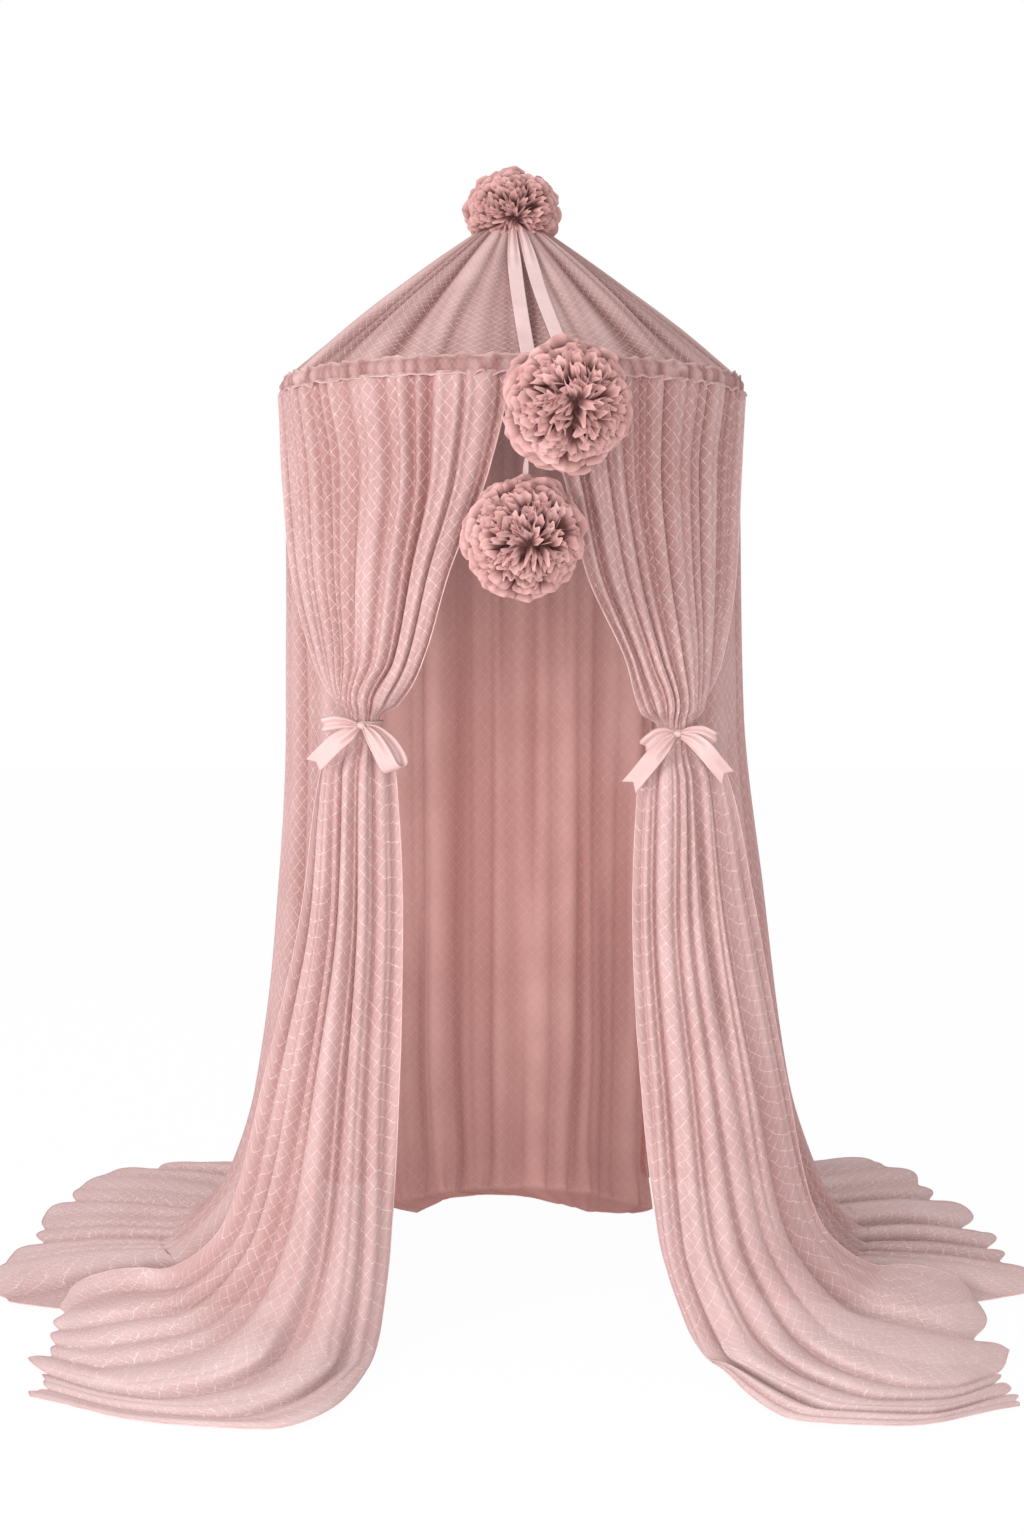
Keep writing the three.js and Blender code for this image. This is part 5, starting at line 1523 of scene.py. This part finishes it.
side = [(foot, NECK_HEIGHT + NECK_STAND), (6.2, 1638), (5, RING_MIDDLE - RING_RADIUS - RING_WIRE),
        (4.6, LOOP_TOP - 2.4), (2.4, LOOP_TOP - 0.4)]
line = [(-x, 0, z) for x, z in side] + [(0, 0, LOOP_TOP)] + [(x, 0, z) for x, z in side[::-1]]
strip("webbing_loop", line, [(0, LOOP_WIDTH, 0)] * len(line), "hanging_loop", LOOP_WIDTH,
      cloth=webbing, thickness=LOOP_THICKNESS)

# %% [markdown]
# A white room without corners: a floor and the world behind it are white to the camera, and to
# mirrors and glass, while the light on the object stays plain. The floor mixes its own shading in,
# so that it keeps a soft shadow under the cloth.

# %% Floor and world
FLOOR_HALF = 9000
FLOOR_LEVEL = -0.5
FLOOR_WHITENESS = 0.97
LIGHT_ON_OBJECT = 0.72


def seen_plainly(tree):
    """1 for what the camera, a mirror or glass looks at, and 0 for the light on the object."""
    path = wire(tree, "ShaderNodeLightPath").outputs
    return maths(tree, "MAXIMUM", path["Is Camera Ray"],
                 maths(tree, "MAXIMUM", path["Is Glossy Ray"], path["Is Transmission Ray"]))


white_floor, tree = new_material("studio_floor")
set_plain(tree, Base_Color=(0.97, 0.97, 0.97, 1), Roughness=1.0, Specular_IOR_Level=0.0)
glow = wire(tree, "ShaderNodeEmission", {"Color": WHITE, "Strength": 1.0})
mix = wire(tree, "ShaderNodeMixShader", {
    0: times(tree, seen_plainly(tree), FLOOR_WHITENESS),
    1: tree.nodes["Principled BSDF"].outputs[0], 2: glow.outputs[0]})
tree.links.new(mix.outputs[0], tree.nodes["Material Output"].inputs[0])
corners = [(x * FLOOR_HALF, y * FLOOR_HALF, FLOOR_LEVEL)
           for x, y in ((-1, -1), (1, -1), (1, 1), (-1, 1))]
new_piece("studio_floor", corners, [(0, 1, 2, 3)], white_floor)

world = bpy.data.worlds.new("studio")
bpy.context.scene.world = world
world.use_nodes = True
tree = world.node_tree
tree.nodes.clear()
strength = scaled(tree, seen_plainly(tree), 1 - LIGHT_ON_OBJECT, LIGHT_ON_OBJECT)
light = wire(tree, "ShaderNodeBackground", {"Color": WHITE, "Strength": strength})
wire(tree, "ShaderNodeOutputWorld", {"Surface": light.outputs[0]})
print("floor and world ready")

# %% [markdown]
# Two large soft lamps light the front, the stronger one from the left, as in a studio. A weak lamp
# inside the tent, which the camera doesn't see, stands for the light that comes in through the
# sheer cloth.

# %% Lights
def softbox(name, place, aim, size, watts):
    lamp = bpy.data.lights.new(name, "AREA")
    lamp.shape = "DISK"
    lamp.size = size * MM
    lamp.energy = watts
    box = bpy.data.objects.new(name, lamp)
    lift = np.array([0, 0, HOOK_HEIGHT])
    start, end = (np.array(place) - lift) * MM, (np.array(aim) - lift) * MM
    box.location = start
    box.rotation_euler = Vector(end - start).to_track_quat("-Z", "Y").to_euler()
    bpy.context.collection.objects.link(box)
    return box


softbox("key_light", (-3200, -3000, 2100), (0, 0, 700), 1500, 106)
softbox("front_light", (50, -3600, 800), (0, 0, 700), 1800, 52)
inside = softbox("inside_light", (100, -160, 640), (120, 330, 560), 500, 0.78)
inside.visible_camera = False
print("lights ready")

# %% [markdown]
# The look leaves the view transform plain, so that a colour renders about as it is written.

# %% View
bpy.context.scene.view_settings.view_transform = "Standard"
